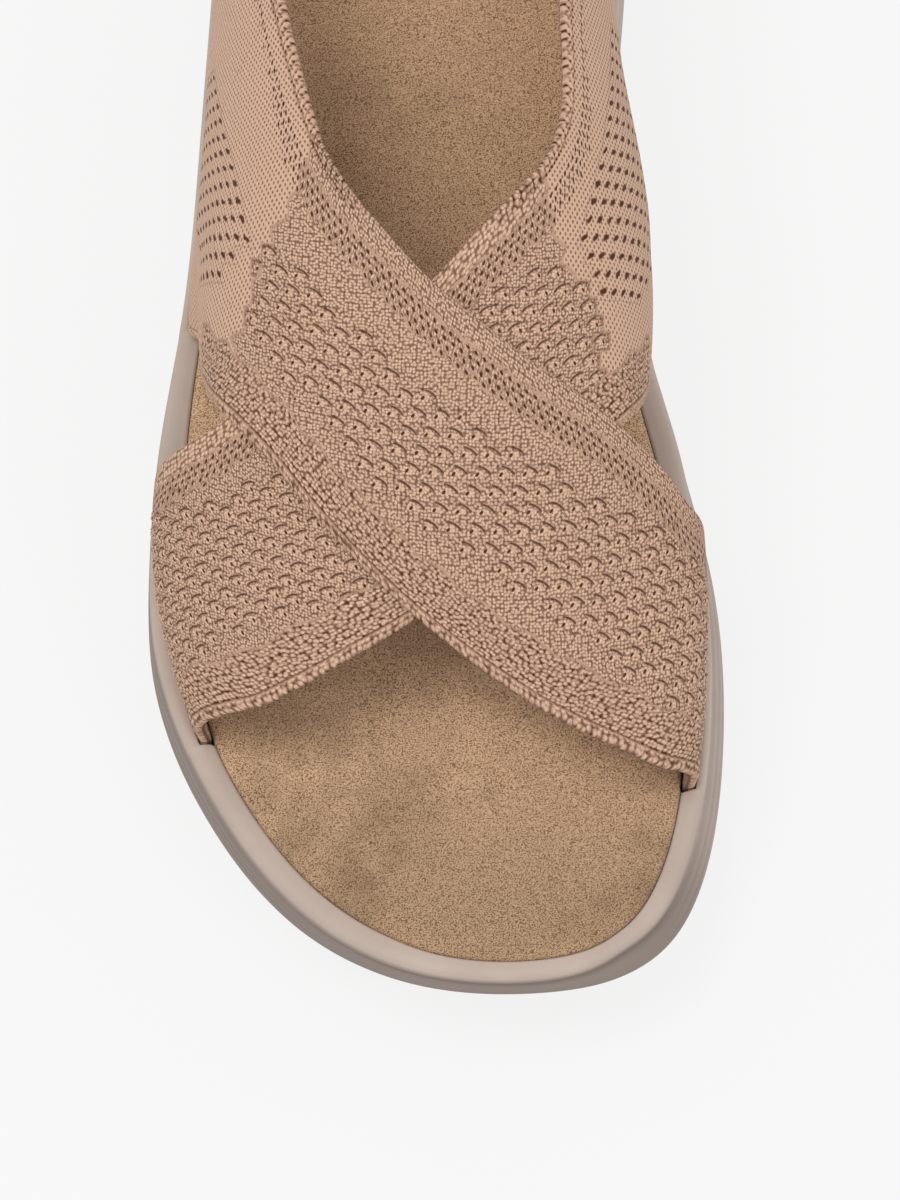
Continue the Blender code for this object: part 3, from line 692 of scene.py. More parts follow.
def seamOf(stitch):
    # 1 where one knit borders another, so that no stitch is stretched over the border.
    seam = np.zeros(stitch.shape[:2])
    for axis in (0, 1):
        jump = np.linalg.norm(np.diff(stitch, axis=axis), axis=-1) > knit["stitchJump"]
        before, after = [(0, 0), (0, 0)], [(0, 0), (0, 0)]
        before[axis], after[axis] = (1, 0), (0, 1)
        seam = np.maximum(seam, np.pad(jump, before) | np.pad(jump, after))
    return seam


def strapPiece(name, sheet, relief):
    # A strap of real thickness: a fine outer face with relief, round edges and a plain inside.
    rows, columns = sheet["share"].shape
    half = last["wall"] / 2
    radius = knit["edgeRadius"]
    near = np.minimum(np.minimum(sheet["front"], sheet["back"]) / radius, 1.0)
    roundness = np.sqrt(np.maximum(0, 1 - (1 - near) ** 2))
    height, marks = relief(sheet)
    # painted shade: places lower than the mean round them darken the yarn's colour in the shader
    below = softened(height, knit["hollowReach"]) - height
    marks["hollow"] = np.clip(below / knit["hollowDepth"], 0, 1)
    marks["seam"] = seamOf(marks["stitch"])
    outer = half + (half - knit["relief"] + height) * roundness
    outerPoints = sheet["place"] + sheet["normal"] * outer[..., None]
    pick = np.round(np.linspace(0, columns - 1, knit["innerColumns"])).astype(int)
    pick = np.unique(np.concatenate([[0, 2, 4], pick, [columns - 5, columns - 3, columns - 1]]))
    pick = pick[1:-1][::-1]
    inner = half - half * roundness[:, pick]
    innerPoints = sheet["place"][:, pick] + sheet["normal"][:, pick] * inner[..., None]
    points = np.concatenate([outerPoints, innerPoints], 1)
    wide = points.shape[1]
    faces = [quadsOf(rows, wide, True)]
    faces.append(np.arange(wide)[None, ::-1])
    faces.append((rows - 1) * wide + np.arange(wide)[None])
    i, j = rows // 2, columns // 2
    down = points[i + 1, j] - points[i, j]
    across = points[i, j + 1] - points[i, j]
    if np.cross(across, down) @ sheet["normal"][i, j] < 0:
        faces = [f[:, ::-1] for f in faces]
    plain = np.zeros((rows, len(pick)))
    inside = {
        "hollow": plain,
        "seam": plain,
        "fine": plain + 0.6,
        "stitch": np.stack([sheet["round"][:, pick], sheet["along"][:, pick], plain], -1),
        "cell": np.zeros((rows, len(pick), 3)),
        "holes": np.zeros((rows, len(pick), 3)),
    }
    loose = {}
    for key, values in marks.items():
        both = np.concatenate([values, inside[key]], 1)
        loose[key] = both.reshape(-1, 3) if both.ndim == 3 else both.ravel()
    return makePiece(name, points, faces, "upper", loose)


def mixBy(mask, a, b):
    return a * (1 - mask) + b * mask


# Eyelet diamonds of the sides. On the photograph, in its pixels: their outline, the place of
# their first column, rows as (level, row number), how far apart the eyelets are, the rows' slope.
# Then the first and last column by row, with the part out of the photograph's sight.
eyelets = [
    {
        "outline": [(609, 26), (660, 26), (670, 240), (640, 300), (622, 296), (606, 252),
                    (594, 216), (598, 180), (602, 140), (609, 105)],
        "middle": [(36, 612), (103, 613), (150, 605), (203, 597), (295, 598)],
        "rows": [(9, -2), (36, 0), (103, 5), (149, 8), (203, 11.3), (292, 16.6)],
        "apart": [(36, 5.2), (120, 6.0), (190, 7.2), (292, 6.2)],
        "slope": 0.33,
        "side": 1,
        "first": [(0, 0), (12, 0), (14.3, 1), (16.6, 4)],
        "last": [(0, 2), (5, 5), (8, 7), (11, 9), (14, 9), (17, 6)],
    },
    {
        "outline": [(190, 70), (222, 74), (226, 140), (233, 186), (243, 222), (236, 240),
                    (215, 258), (190, 262)],
        "middle": [(78, 218), (140, 222), (186, 230), (222, 239), (262, 239)],
        "rows": [(49, -2), (78, 0), (140, 4.2), (186, 7.2), (222, 9.5), (262, 12)],
        "apart": [(78, 4.6), (186, 5.2), (262, 5.4)],
        "slope": -0.36,
        "side": -1,
        "first": [(0, 0), (9.5, 0), (10.5, 1), (12, 4)],
        "last": [(0, 3), (4, 6), (8, 9), (12, 9)],
    },
]
# The band of holes along the collar: its near and far side by level on the photograph, and how
# far apart its holes are across and along.
holeBand = {
    "near": 4.5 * mm,
    "far": [(0, 5.9), (70, 6.1), (110, 7.6), (150, 8.8), (420, 9.2), (520, 8.4)],
    "across": 1.22 * mm,
    "along": 1.70 * mm,
    "wave": (0.35 * mm, 0.8 * mm),
}


def eyeletFit(chart):
    # Columns and rows of a chart in the knit's own lengths, from the part the photograph sees.
    normal = lastGrid[..., 3:6]
    normal = normal / np.maximum(np.linalg.norm(normal, axis=-1, keepdims=True), 1e-9)
    x, y = onPhoto(lastGrid[..., :3] + normal * last["wall"])
    e = math.radians(shot["elevation"])
    facing = normal[..., 2] * math.sin(e) - normal[..., 1] * math.cos(e)
    seen = insideShape(x, y, chart["outline"]) & (facing > 0.15)
    middle = np.interp(y, *zip(*chart["middle"]))
    level = y - (x - middle) * chart["slope"]
    row = np.interp(level, *zip(*chart["rows"]))
    column = (x - middle) / np.interp(level, *zip(*chart["apart"])) * chart["side"]
    known = np.stack([np.ones_like(x), lastGrid[..., 6], lastGrid[..., 7]], -1)[seen]
    wanted = np.stack([column, row], -1)[seen]
    return np.linalg.lstsq(known, wanted, rcond=None)[0]


for chart in eyelets:
    chart["fit"] = eyeletFit(chart)


def wavy(run, wave):
    height, length = wave
    return height * np.sin(run / length)


def holesOf(sheet):
    # Repeat of the eyelets and holes, and 1 where they are.
    far = np.interp(sheet["y"], *zip(*holeBand["far"])) * mm
    near = holeBand["near"]
    edge = wavy(sheet["backRun"], holeBand["wave"])
    inBand = (sheet["back"] > near + edge) & (sheet["back"] < far + edge)
    column = (sheet["back"] - near) / holeBand["across"] - 0.5
    run = sheet["backRun"] / holeBand["along"] + 0.5 * np.round(column)
    cells = np.stack([column, run, inBand * 1.0], -1)
    known = np.stack([np.ones_like(column), sheet["round"], sheet["along"]], -1)
    for chart in eyelets:
        column, row = np.moveaxis(known @ chart["fit"], -1, 0)
        here, line = np.round(column), np.round(row)
        inside = (line >= 0) & (line <= chart["first"][-1][0])
        inside &= here >= np.round(np.interp(line, *zip(*chart["first"])))
        inside &= here <= np.round(np.interp(line, *zip(*chart["last"])))
        inside &= (sheet["place"][..., 0] * chart["side"] > 0) & ~inBand
        spot = np.stack([column, row, inside * 1.0], -1)
        cells = np.where(inside[..., None], spot, cells)
    return cells


def grooveAt(distance, groove):
    place, half, depth = groove
    return depth * np.exp(-((distance - place) / half) ** 2)


def collarRoll(sheet, amount):
    # The rolled collar edge, its loops slanting over the edge.
    back, run = sheet["back"], sheet["backRun"]
    loops = np.cos(2 * math.pi * (run + back * 0.4) / knit["collarPitch"])
    roll = (1 - ease(back, *form["collarEnd"])) * (form["collar"] + form["collarLoops"] * loops)
    return (roll - grooveAt(back, form["collarGroove"])) * amount


# Lengths of the pattern that a stitch of each knit takes: along it, and from the edge inwards.
stitchSizes = {
    "seed": (1.38, 2.6, 1.18),
    "rope": (0.46, 0.62),
    "band": (1.25, 1.45),
}
# How much each knit shows pebbly loops, and not fine ones.
pebbly = {"seeds": 0.80, "plain": 0.76, "bandLess": 0.30}


def strapRelief(look):
    # Relief of a crossing strap: bump panel, stockinette round it, seed bands and rolled edge.
    turned = -1 if look["mirrored"] else 1

    def panelOf(sheet, along, up):
        # Whole bumps only: the panel's edge is taken at the middle of each bump.
        row = np.round(up / knit["rowPitch"])
        offset = along / knit["bumpPitch"] - row * knit["rowShift"] - knit["cellShift"]
        dx = (np.round(offset) - offset) * knit["bumpPitch"] / pixel * turned
        dy = -(row * knit["rowPitch"] - up) / pixel
        panel = np.zeros(sheet["x"].shape, bool)
        for corners in look["panels"]:
            panel |= insideShape(sheet["x"] + dx, sheet["y"] + dy, corners)
        return panel.astype(float)

    def relief(sheet):
        along, up = rowLines(sheet)
        along, up = turned * along * look["grow"][0], up * look["grow"][1]
        bumps = loopsHeight(bumpLoops, along, up, knit["bumpPitch"], knit["rowPitch"],
                            knit["rowShift"], knit["bumpWander"])
        panel = panelOf(sheet, along, up)
        front, back, row = sheet["front"], sheet["back"], sheet["row"]
        run, backRun = sheet["frontRun"], sheet["backRun"]
        pitch = knit["seedPitch"]
        seeds = loopsHeight(seedLoops, run, front, pitch, pitch * knit["seedRows"], 0.5,
                            knit["seedWander"])
        seedEnd = look["seedShare"] * (front + back) + wavy(run, form["seedWave"])
        inFront = ease(front, *form["seedStart"])
        inFront = inFront * (1 - ease(front - seedEnd, 0, form["seedFade"]))
        inFront = inFront * (1 - ease(row, *form["seedLastRow"]))
        height = mixBy(panel, form["plain"], np.maximum(bumps, form["bumpFloor"]))
        height = mixBy(inFront, height, form["seedFloor"] + form["seedTall"] * seeds)
        # rolled front edge with slanted stitches
        roll = 1 - ease(front, *form["rollEnd"])
        slant = np.sin(2 * math.pi * (run + front * 0.9) / form["rollPitch"])
        height = mixBy(roll, height, form["roll"] + form["rollSlant"] * slant)
        height = height - grooveAt(front, form["groove"])
        height = height + collarRoll(sheet, ease(row, *form["collarRows"]))
        fold = back < look["foldWidth"] + wavy(backRun, form["foldWave"])
        border = 0.06 * np.sin(up / (0.9 * mm)) + 0.05 * np.sin(along / (1.3 * mm))
        isPlain = (row + border > look["plainRow"]) & (panel < 0.5) & (inFront < 0.5)
        holes = holesOf(sheet)
        band = holes[..., 2] * (1 - isPlain)
        sizes, foldSize = stitchSizes, look["foldStitch"]
        zero = np.zeros_like(up)
        stitch = np.stack([along, up, zero], -1)
        for here, u, v, plain in (
            (inFront > 0.5, run / sizes["seed"][0] + front / sizes["seed"][1],
             front / sizes["seed"][2], 0),
            (roll > 0.5, front * sizes["rope"][0], run * sizes["rope"][1], 0),
            (fold, backRun / foldSize[0], back / foldSize[1], 0),
            (isPlain, sheet["round"], sheet["along"], 1),
            (band > 0.5, backRun / sizes["band"][0], back / sizes["band"][1], 0),
        ):
            stitch = np.where(here[..., None], np.stack([u, v, zero + plain], -1), stitch)
        busy = np.maximum(panel, inFront * pebbly["seeds"])
        busy = np.maximum(busy, pebbly["plain"] - pebbly["bandLess"] * band)
        place = along / knit["bumpPitch"] - knit["cellShift"]
        cell = np.stack([place, up / knit["rowPitch"], panel * (1 - inFront)], -1)
        holes[..., 2] *= (1 - np.maximum(panel, inFront))
        return height, {"stitch": stitch, "fine": 1 - busy, "cell": cell, "holes": holes}
    return relief


def sideRelief(sheet):
    # Plain fine knit of the side panels, with the rolled collar edge.
    plain = np.ones_like(sheet["share"])
    height = form["plain"] * plain + collarRoll(sheet, 1.0)
    marks = {
        "stitch": np.stack([sheet["round"], sheet["along"], plain], -1),
        "fine": plain,
        "cell": np.zeros((*plain.shape, 3)),
        "holes": holesOf(sheet),
    }
    return height, marks


overLook = {
    "panels": [bumpPanels["over"]],
    "mirrored": False,
    "grow": (1.0, 1.0),
    "seedShare": 0.200,
    "foldWidth": 4.5 * mm,
    "foldStitch": (1.0, 1.0),
    "plainRow": 10.2,
}
underLook = {
    "panels": [bumpPanels["underLateral"], bumpPanels["underMedial"]],
    "mirrored": True,
    "grow": (1.09, 1.06),
    "seedShare": 0.190,
    "foldWidth": 6.0 * mm,
    "foldStitch": (1.70, 1.33),
    "plainRow": 9.6,
}


def buildUpper():
    made = []
    over = strapSheet(overRows, 0, 13, 430, ([0, 1, 1.3, 13], [0.2, 0.2, 1, 1]), 205)
    made.append(strapPiece("strapOver", over, strapRelief(overLook)))
    hidden = ([0, 1, 1.3, 5.5, 6, 8, 8.5, 13], [0.2, 0.2, 1, 1, 0.35, 0.35, 1, 1])
    under = strapSheet(underRows, 0, 13, 400, hidden, 205)
    made.append(strapPiece("strapUnder", under, strapRelief(underLook)))
    even = ([0, 30], [1, 1])
    for name, rows, strap in (("sidePanelLateral", overRows, over),
                              ("sidePanelMedial", underRows, under)):
        side = strapSheet(rows, 13, 18, 200, even, 150)
        for key in ("frontRun", "backRun"):
            side[key] = side[key] + strap[key][-1, 0]
        made.append(strapPiece(name, side, sideRelief))
    halves = [strapSheet(rows, 18, 23, 110, even, 70) for rows in (overRows, underRows)]
    made.append(strapPiece("heelStrap", joinSheets(*halves), sideRelief))
    return made


upperPieces = buildUpper()
print("upper ready")


# Midsole

midsole = {
    "bottomInset": 0.0006,
    "wallPower": 1.55,
    "ribZone": (1.06, 2.00),
    "ribStart": 0.02,
    "ribFade": 0.06,
    "socketGrow": 0.0002,
    "socketSoft": 0.0005,
    "lowRings": 15,
    "wallRings": 46,
    "rimRings": 19,
    # painted shade on the foam's wall: dark at the toe, fading towards the heel, and darker below
    # the widest line
    "wallPaintedShade": 0.9,            # darkness of the wall at the toe, and how much of it fades
    "wallFall": 0.65,
    "medialFade": (0.04, 0.14),
    "lateralFade": (0.22, 0.50),
    "lowFall": 0.45,
    "lowFade": (0.10, 0.40),
}


def stationsOfEdge(turns):
    points, away = outlineAt(turns)
    edge = points - away * rimInset(turns)[:, None]
    return edge[:, 1] / sole["length"] + 0.5


def socketMask(turns):
    # 1 where a strap is let into the rim.
    station = stationsOfEdge(turns)
    lateral = (turns % (2 * math.pi)) <= math.pi
    grow = midsole["socketGrow"] / sole["length"]
    soft = midsole["socketSoft"] / sole["length"]
    mask = np.zeros(len(turns))
    for side, first, lastPlace in sockets:
        here = lateral if side == "lateral" else ~lateral
        inside = ease(station, first - grow - soft, first - grow + soft)
        inside = inside * (1 - ease(station, lastPlace + grow - soft, lastPlace + grow + soft))
        mask = np.maximum(mask, np.where(here, inside, 0))
    return mask


def buildMidsole():
    turns = np.linspace(0, 2 * math.pi, sole["turns"], endpoint=False)
    shares = shareOf(turns)
    low = treadZ(shares) + sole["outsoleThick"] + sole["gap"]
    depth = sole["rimDepth"] * bySide(turns, 7, 7)
    widest = bySide(turns, 8, 8)
    top = rimZ(shares) - depth
    flare = rimFlare(turns)
    under = undercut(turns)
    inner = rimInset(turns) - socketMask(turns) * (last["wall"] + sole["gap"])
    start, end = midsole["ribStart"], midsole["ribStart"] + midsole["ribFade"]
    fade = ease(shares, start, end) * (1 - ease(shares, 1 - end, 1 - start))
    # Painted shade of the wall: dark at the toe, fading towards the heel sooner on the medial side
    # than on the lateral; below the widest line it is darker and fades less.
    fall = np.where(turns > math.pi, ease(shares, *midsole["medialFade"]),
                    ease(shares, *midsole["lateralFade"]))
    wallPaintedShade = midsole["wallPaintedShade"] - midsole["wallFall"] * fall
    lowPaintedShade = 1.0 - midsole["lowFall"] * ease(shares, *midsole["lowFade"])
    rings, paintedShades = [], []

    def wallZ(level):
        share = level * widest if level < 1 else widest + (level - 1) * (1 - widest)
        return low + (top - low) * share

    def addRing(inset, z, shade):
        rings.append(inward(turns, inset, z))
        paintedShades.append(shade)

    ribFirst, ribLast = midsole["ribZone"]
    ribLevels = [ribFirst + (ribLast - ribFirst) * (k + 0.5) / sole["ribs"]
                 for k in range(sole["ribs"])]
    for level in np.linspace(0, 1, midsole["lowRings"]):
        inset = under * (1 - level) ** midsole["wallPower"]
        inset = inset + midsole["bottomInset"] * (1 - ease(level, 0, 0.25))
        addRing(inset, wallZ(level), lowPaintedShade)
    rimGroove = (top, sole["grooveHalf"], sole["grooveDepth"])
    for level in np.linspace(1, 2, midsole["wallRings"])[1:]:
        z = wallZ(level)
        inset = flare * (level - 1) ** 1.5
        for ribLevel in ribLevels:
            inset = inset + fade * grooveAt(z, (wallZ(ribLevel), sole["ribHalf"], sole["ribDepth"]))
        addRing(inset + grooveAt(z, rimGroove), z, wallPaintedShade)
    for place in np.linspace(0, 5, midsole["rimRings"]):
        part = float(curveThrough(rimSection, 1, place))
        z = rimZ(shares) - depth * float(curveThrough(rimSection, 2, place))
        inset = flare + (inner - flare) * part + grooveAt(z, rimGroove)
        # the painted shade fades out over the rim's rounded top; the inner rings get none
        addRing(inset, z, wallPaintedShade * (1 - ease(place, 0.1, 1.3)))
    for z in (rimZ(shares) - depth * 0.3, recessZ(shares)):
        addRing(inner, z, np.zeros(len(turns)))
    grid = np.array(rings)
    count, n = grid.shape[:2]
    k = np.arange(1, n // 2 - 1)
    ends = [np.stack([k, k + 1, n - k - 1, n - k], -1),
            np.array([(0, 1, n - 1), (n // 2 - 1, n // 2, n // 2 + 1)])]
    faces = [quadsOf(count, n, True)[:, ::-1], *ends]
    faces += [(count - 1) * n + f[:, ::-1] for f in ends]
    # the under attribute carries the painted shade to the foam's colour
    paintedShading = {"under": np.concatenate(paintedShades)}
    return makePiece("midsoleFoam", grid, faces, "midsole", paintedShading)


# Insole and outsole, each a stack of rings with a grid over the last one and a lid on the first

def turnsOf(rows):
    half = np.linspace(0, math.pi, rows + 1)
    return np.concatenate([half, 2 * math.pi - half[-2:0:-1]])


def gridOver(rim, rows, columns):
    # Lateral and medial points of a ring, shares of the way across, and the points between.
    lateral, medial = rim[1:rows], rim[:rows:-1]
    across = np.linspace(0, 1, columns + 1)[None, 1:-1, None]
    return lateral, medial, across, lateral[:, None] + (medial - lateral)[:, None] * across


def stackFaces(count, rows, columns, upward):
    # Faces of such a piece. upward tells which way its grid looks.
    n = 2 * rows
    first = (count - 1) * n
    inner = count * n + np.arange((rows - 1) * (columns - 1)).reshape(rows - 1, columns - 1)
    left = first + np.arange(1, rows)[:, None]
    right = first + (n - np.arange(1, rows))[:, None]
    full = np.concatenate([left, inner, right], 1)
    a, b, c, d = full[:-1, :-1], full[:-1, 1:], full[1:, 1:], full[1:, :-1]
    over = np.stack([a, b, c, d], -1).reshape(-1, 4)
    tip, end = full[0], full[-1]
    start, finish = np.full(columns, first), np.full(columns, first + rows)
    k = np.arange(1, rows - 1)
    sides = quadsOf(count, n, True)
    if upward:
        return [sides[:, ::-1], over, np.stack([start, tip[1:], tip[:-1]], -1),
                np.stack([finish, end[:-1], end[1:]], -1),
                np.stack([k, k + 1, n - k - 1, n - k], -1),
                np.array([(0, 1, n - 1), (rows - 1, rows, rows + 1)])]
    return [sides, over[:, ::-1], np.stack([start, tip[:-1], tip[1:]], -1),
            np.stack([finish, end[1:], end[:-1]], -1),
            np.stack([k, n - k, n - k - 1, k + 1], -1),
            np.array([(0, n - 1, 1), (rows - 1, rows + 1, rows)])]


insole = {
    "rows": 300,
    "columns": 72,
    "cupStart": 0.55,
    "cupLength": 0.25,
    "edgeInset": 0.00004,
    "roundEdge": [(0.00, -4.0), (0.00, -1.2), (0.03, -0.75), (0.12, -0.42), (0.28, -0.14),
                  (0.55, 0.06), (0.95, 0.20), (1.60, 0.30), (2.60, 0.38)],
}


def buildInsole():
    rows, columns = insole["rows"], insole["columns"]
    turns = turnsOf(rows)
    shares = shareOf(turns)
    base = rimInset(turns) + insole["edgeInset"]
    base = base + socketMask(turns) * (sole["gap"] - insole["edgeInset"])
    rings = [inward(turns, base, recessZ(shares) + sole["gap"])]
    for extra, up in insole["roundEdge"]:
        rings.append(inward(turns, base + extra * mm, rimZ(shares) + up * mm))
    lateral, medial, across, top = gridOver(rings[-1], rows, columns)
    station = (lateral[:, 1] + medial[:, 1]) / 2 / sole["length"] + 0.5
    s = across[..., 0]
    middle = (1 - (2 * s - 1) ** 2) * np.sqrt(np.maximum(0, 4 * station * (1 - station)))[:, None]
    heel = ease(station, insole["cupStart"], insole["cupStart"] + insole["cupLength"])[:, None]
    top[..., 2] += middle * (sole["crown"] * (1 - heel) - sole["heelCup"] * heel)
    points = np.concatenate([*rings, top.reshape(-1, 3)])
    faces = stackFaces(len(rings), rows, columns, True)
    return makePiece("insolePad", points, faces, "insole")


outsole = {
    # insets, then heights as shares of the thickness, from the top down
    "insets": (0.0005, 0.0007, 0.0010, 0.0015, 0.0020),
    "heights": (1.0, 0.6, 0.30, 0.08, 0.0),
    "zones": ((0.060, 0.450), (0.700, 0.960)),
    "slope": 0.0006,
    "rows": 620,
    "columns": 26,
}


def lugHollow(station):
    # 1 in the gaps between the lugs.
    hollow = np.zeros_like(station)
    slope = outsole["slope"] / sole["length"]
    pitch = sole["lugPitch"] / sole["length"]
    width = sole["lugGap"] / sole["length"]
    for first, lastPlace in outsole["zones"]:
        for k in range(int((lastPlace - first) / pitch) + 1):
            start = first + k * pitch
            inside = ease(station, start - slope, start)
            hollow = np.maximum(hollow, inside * (1 - ease(station, start + width,
                                                           start + width + slope)))
    return hollow


def buildOutsole():
    rows, columns = outsole["rows"], outsole["columns"]
    turns = turnsOf(rows)
    shares = shareOf(turns)
    hollow = lugHollow(shares) * sole["lugDepth"]
    rings = []
    for inset, share in zip(outsole["insets"], outsole["heights"]):
        z = treadZ(shares) + np.maximum(sole["outsoleThick"] * share, hollow)
        rings.append(inward(turns, undercut(turns) + inset, z))
    tread = gridOver(rings[-1], rows, columns)[-1]
    points = np.concatenate([*rings, tread.reshape(-1, 3)])
    faces = stackFaces(len(rings), rows, columns, False)
    return makePiece("outsoleTread", points, faces, "outsole")


midsolePiece = buildMidsole()
insolePiece = buildInsole()
outsolePiece = buildOutsole()
print("sole ready")


# Materials

class Wire:
    # One socket of a material's nodes, so that shader maths reads as plain expressions.
    def __init__(self, paint, socket):
        self.paint = paint
        self.socket = socket

    def __add__(self, other):
        return self.paint.maths("ADD", self, other)

    def __sub__(self, other):
        return self.paint.maths("SUBTRACT", self, other)

    def __rsub__(self, other):
        return self.paint.maths("SUBTRACT", other, self)

    def __mul__(self, other):
        return self.paint.maths("MULTIPLY", self, other)

    def __truediv__(self, other):
        return self.paint.maths("DIVIDE", self, other)

    def __pow__(self, other):
        return self.paint.maths("POWER", self, other)

    __radd__ = __add__
    __rmul__ = __mul__


class Paint:
    # A material, its nodes and its surface shader.
    def __init__(self, name, **constants):
        self.material = bpy.data.materials.new(name)
        self.material.use_nodes = True
        self.tree = self.material.node_tree
        self.surface = self.tree.nodes["Principled BSDF"]
        self.feed(self.surface, constants)

    def feed(self, made, inputs):
        for key, value in inputs.items():
            socket = made.inputs[key]
            if isinstance(value, Wire):
                self.tree.links.new(value.socket, socket)
            else:
                socket.default_value = value

    def node(self, kind, settings, inputs, output=0):
        made = self.tree.nodes.new(kind)
        for key, value in settings.items():
            if key == "stops":
                ramp = made.color_ramp
                for place, colour in value[1:-1]:
                    ramp.elements.new(place)
                for element, (place, colour) in zip(ramp.elements, value):
                    element.position = place
                    element.color = (*colour, 1.0)
            else:
                setattr(made, key, value)
        self.feed(made, inputs)
        return Wire(self, made.outputs[output])

    def maths(self, operation, *values):
        return self.node("ShaderNodeMath", {"operation": operation}, dict(enumerate(values)))

    def wrap(self, value):
        return self.maths("FRACT", value)

    def mix(self, factor, a, b):
        inputs = {0: factor, 6: a, 7: b}
        return self.node("ShaderNodeMix", {"data_type": "RGBA"}, inputs, 2)

    def range(self, value, low, high, a=0.0, b=1.0):
        inputs = {0: value, 1: low, 2: high, 3: a, 4: b}
        settings = {"interpolation_type": "SMOOTHSTEP"}
        return self.node("ShaderNodeMapRange", settings, inputs)

    def place(self):
        return self.node("ShaderNodeTexCoord", {}, {}, "Object")

    def noise(self, where, scale, detail=2.0, roughness=0.5):
        inputs = {"Vector": where, "Scale": scale, "Detail": detail, "Roughness": roughness}
        return self.node("ShaderNodeTexNoise", {}, inputs, "Fac")

    def stretched(self, where, scale):
        inputs = {0: where, 1: scale}
        return self.node("ShaderNodeVectorMath", {"operation": "MULTIPLY"}, inputs)

    def attribute(self, name, output="Fac"):
        return self.node("ShaderNodeAttribute", {"attribute_name": name}, {}, output)

    def parts(self, name):
        vector = self.attribute(name, "Vector")
        return [self.node("ShaderNodeSeparateXYZ", {}, {0: vector}, k) for k in range(3)]

    def finish(self, colour, roughness, height):
        bump = {"Strength": 1.0, "Distance": 1.0, "Height": height}
        normal = self.node("ShaderNodeBump", {}, bump)
        self.feed(self.surface, {"Base Color": colour, "Roughness": roughness, "Normal": normal})
        return self.material


def rgba(red, green, blue):
    return (red, green, blue, 1.0)


knitLook = {
    "yarn": rgba(0.610, 0.390, 0.272),
    # yarnHighlight: painted highlight on the loops' tops and along the creases. yarnDeep: painted
    # shade in gaps, hollows and marks, and the fibres' own darker tone
    "yarnHighlight": rgba(0.800, 0.545, 0.392),
    "yarnDeep": rgba(0.085, 0.022, 0.006),
    "wale": 0.92 * mm,
    "course": 0.66 * mm,
    "plainAcross": 1.00 * mm,
    "plainAlong": 1.45 * mm,
    "beadAcross": 0.58 * mm,
    "beadAlong": 0.62 * mm,
    "beadEdge": (0.26, 0.74),
    "strayAcross": 0.36 * mm,            # how far the yarn strays from its repeat
    "strayAlong": 0.30 * mm,
    "stitchDepth": 0.28 * mm,
    "fibreDepth": 0.030 * mm,
    "markDepth": 0.25 * mm,
    "quiet": 0.34,                       # how much the bumps quieten the loops on them
    "plainLevel": (0.20, 0.68),
    "seamLevel": 0.66,
    "crownLevel": 0.80,
    # lit: strength of the painted highlight on the loops' tops. dark: painted shade in the gaps
    # between loops and in the relief's hollows, and the fibres' own darker tone
    "lit": 0.45,
    "dark": (0.88, 0.60, 0.30),          # from gaps between loops, hollows and fibres
    # eye: a hole, painted dark with shade. crown: raised and lit with a painted highlight. arc:
    # painted shadow in the crease round the crown; valley: painted shade past it; gleam: a painted
    # highlight along it
    "eye": (-0.35, 0.00, 0.46, 0.24),    # place, half length and half width of the dark eye
    "eyeAxis": (0.5, 0.866),
    "crown": (0.25, 0.12, 0.66),         # place and half size of the bright crown
    "arcAt": (-0.72, -1.42),             # middle of the dark crease round a bump's crown
    "arcRound": 2.87,
    "arcAxis": (0.574, 0.819),
    # places past the crease's round, near and far from there, facing from and to, and strength
    "arc": (0.00, 0.00, 0.42, 0.84, 0.93, 0.95),
    "valley": (0.15, 0.10, 0.95, 0.70, 0.92, 0.34),
    "gleam": (0.30, 0.02, 0.16, 0.92, 0.98, 1.00),
    # eyelets and holes are dark ovals of painted shade
    "hole": (0.27, 0.20),                # half length and half width, in holes
    "holeSlant": 0.3,
    "holeStray": (0.35, 0.25),
}


def bumpMarks(paint):
    # The eye and the crease over the crown, dark with painted shade; the valley past the crease,
    # with softer painted shade; a painted highlight along the crease; and the crown, which the
    # caller raises and lights with a painted highlight. All come from the lattice of bumps.
    look = knitLook
    cell = paint.parts("cell")
    row = paint.maths("ROUND", cell[1])
    x = (paint.wrap(cell[0] - row * knit["rowShift"] + 0.5) - 0.5) * (knit["bumpPitch"] / mm)
    y = (cell[1] - row) * (knit["rowPitch"] / mm)
    eyeX, eyeY, eyeLong, eyeWide = look["eye"]
    turnX, turnY = look["eyeAxis"]
    along = (x - eyeX) * turnX + (y - eyeY) * turnY
    across = (y - eyeY) * turnX - (x - eyeX) * turnY
    near = (along / eyeLong) ** 2 + (across / eyeWide) ** 2
    eye = 1 - paint.range(near, 0.3, 1.3)
    crownX, crownY, crownHalf = look["crown"]
    near = ((x - crownX) / crownHalf) ** 2 + ((y - crownY) / crownHalf) ** 2
    crown = 1 - paint.range(near, 0.5, 1.4)
    arcX, arcY = look["arcAt"]
    x, y = x - arcX, y - arcY
    away = paint.maths("SQRT", x * x + y * y)
    facing = (x * look["arcAxis"][0] + y * look["arcAxis"][1]) / away

    def crease(name):
        past, low, high, facingFrom, facingTo, strength = look[name]
        off = paint.maths("ABSOLUTE", away - (look["arcRound"] + past))
        line = 1 - paint.range(off, low, high)
        return line * paint.range(facing, facingFrom, facingTo) * strength

    # painted shade of the eye, the crease and the valley
    marks = paint.maths("MAXIMUM", eye, crease("arc"))
    marks = paint.maths("MAXIMUM", marks, crease("valley"))
    return marks * cell[2], crease("gleam") * cell[2], crown * cell[2]


def holeMarks(paint, wobble):
    # Eyelets and holes, dark ovals of painted shade, at the places of their repeat.
    look = knitLook
    cell = paint.parts("holes")
    x, y = [paint.wrap(cell[k] + wobble * look["holeStray"][k] + 0.5) - 0.5 for k in (0, 1)]
    near = (x / look["hole"][0]) ** 2 + ((y + x * look["holeSlant"]) / look["hole"][1]) ** 2
    hole = 1 - paint.range(near, 0.35, 1.4)
    return hole * paint.maths("GREATER_THAN", cell[2], 0.5)


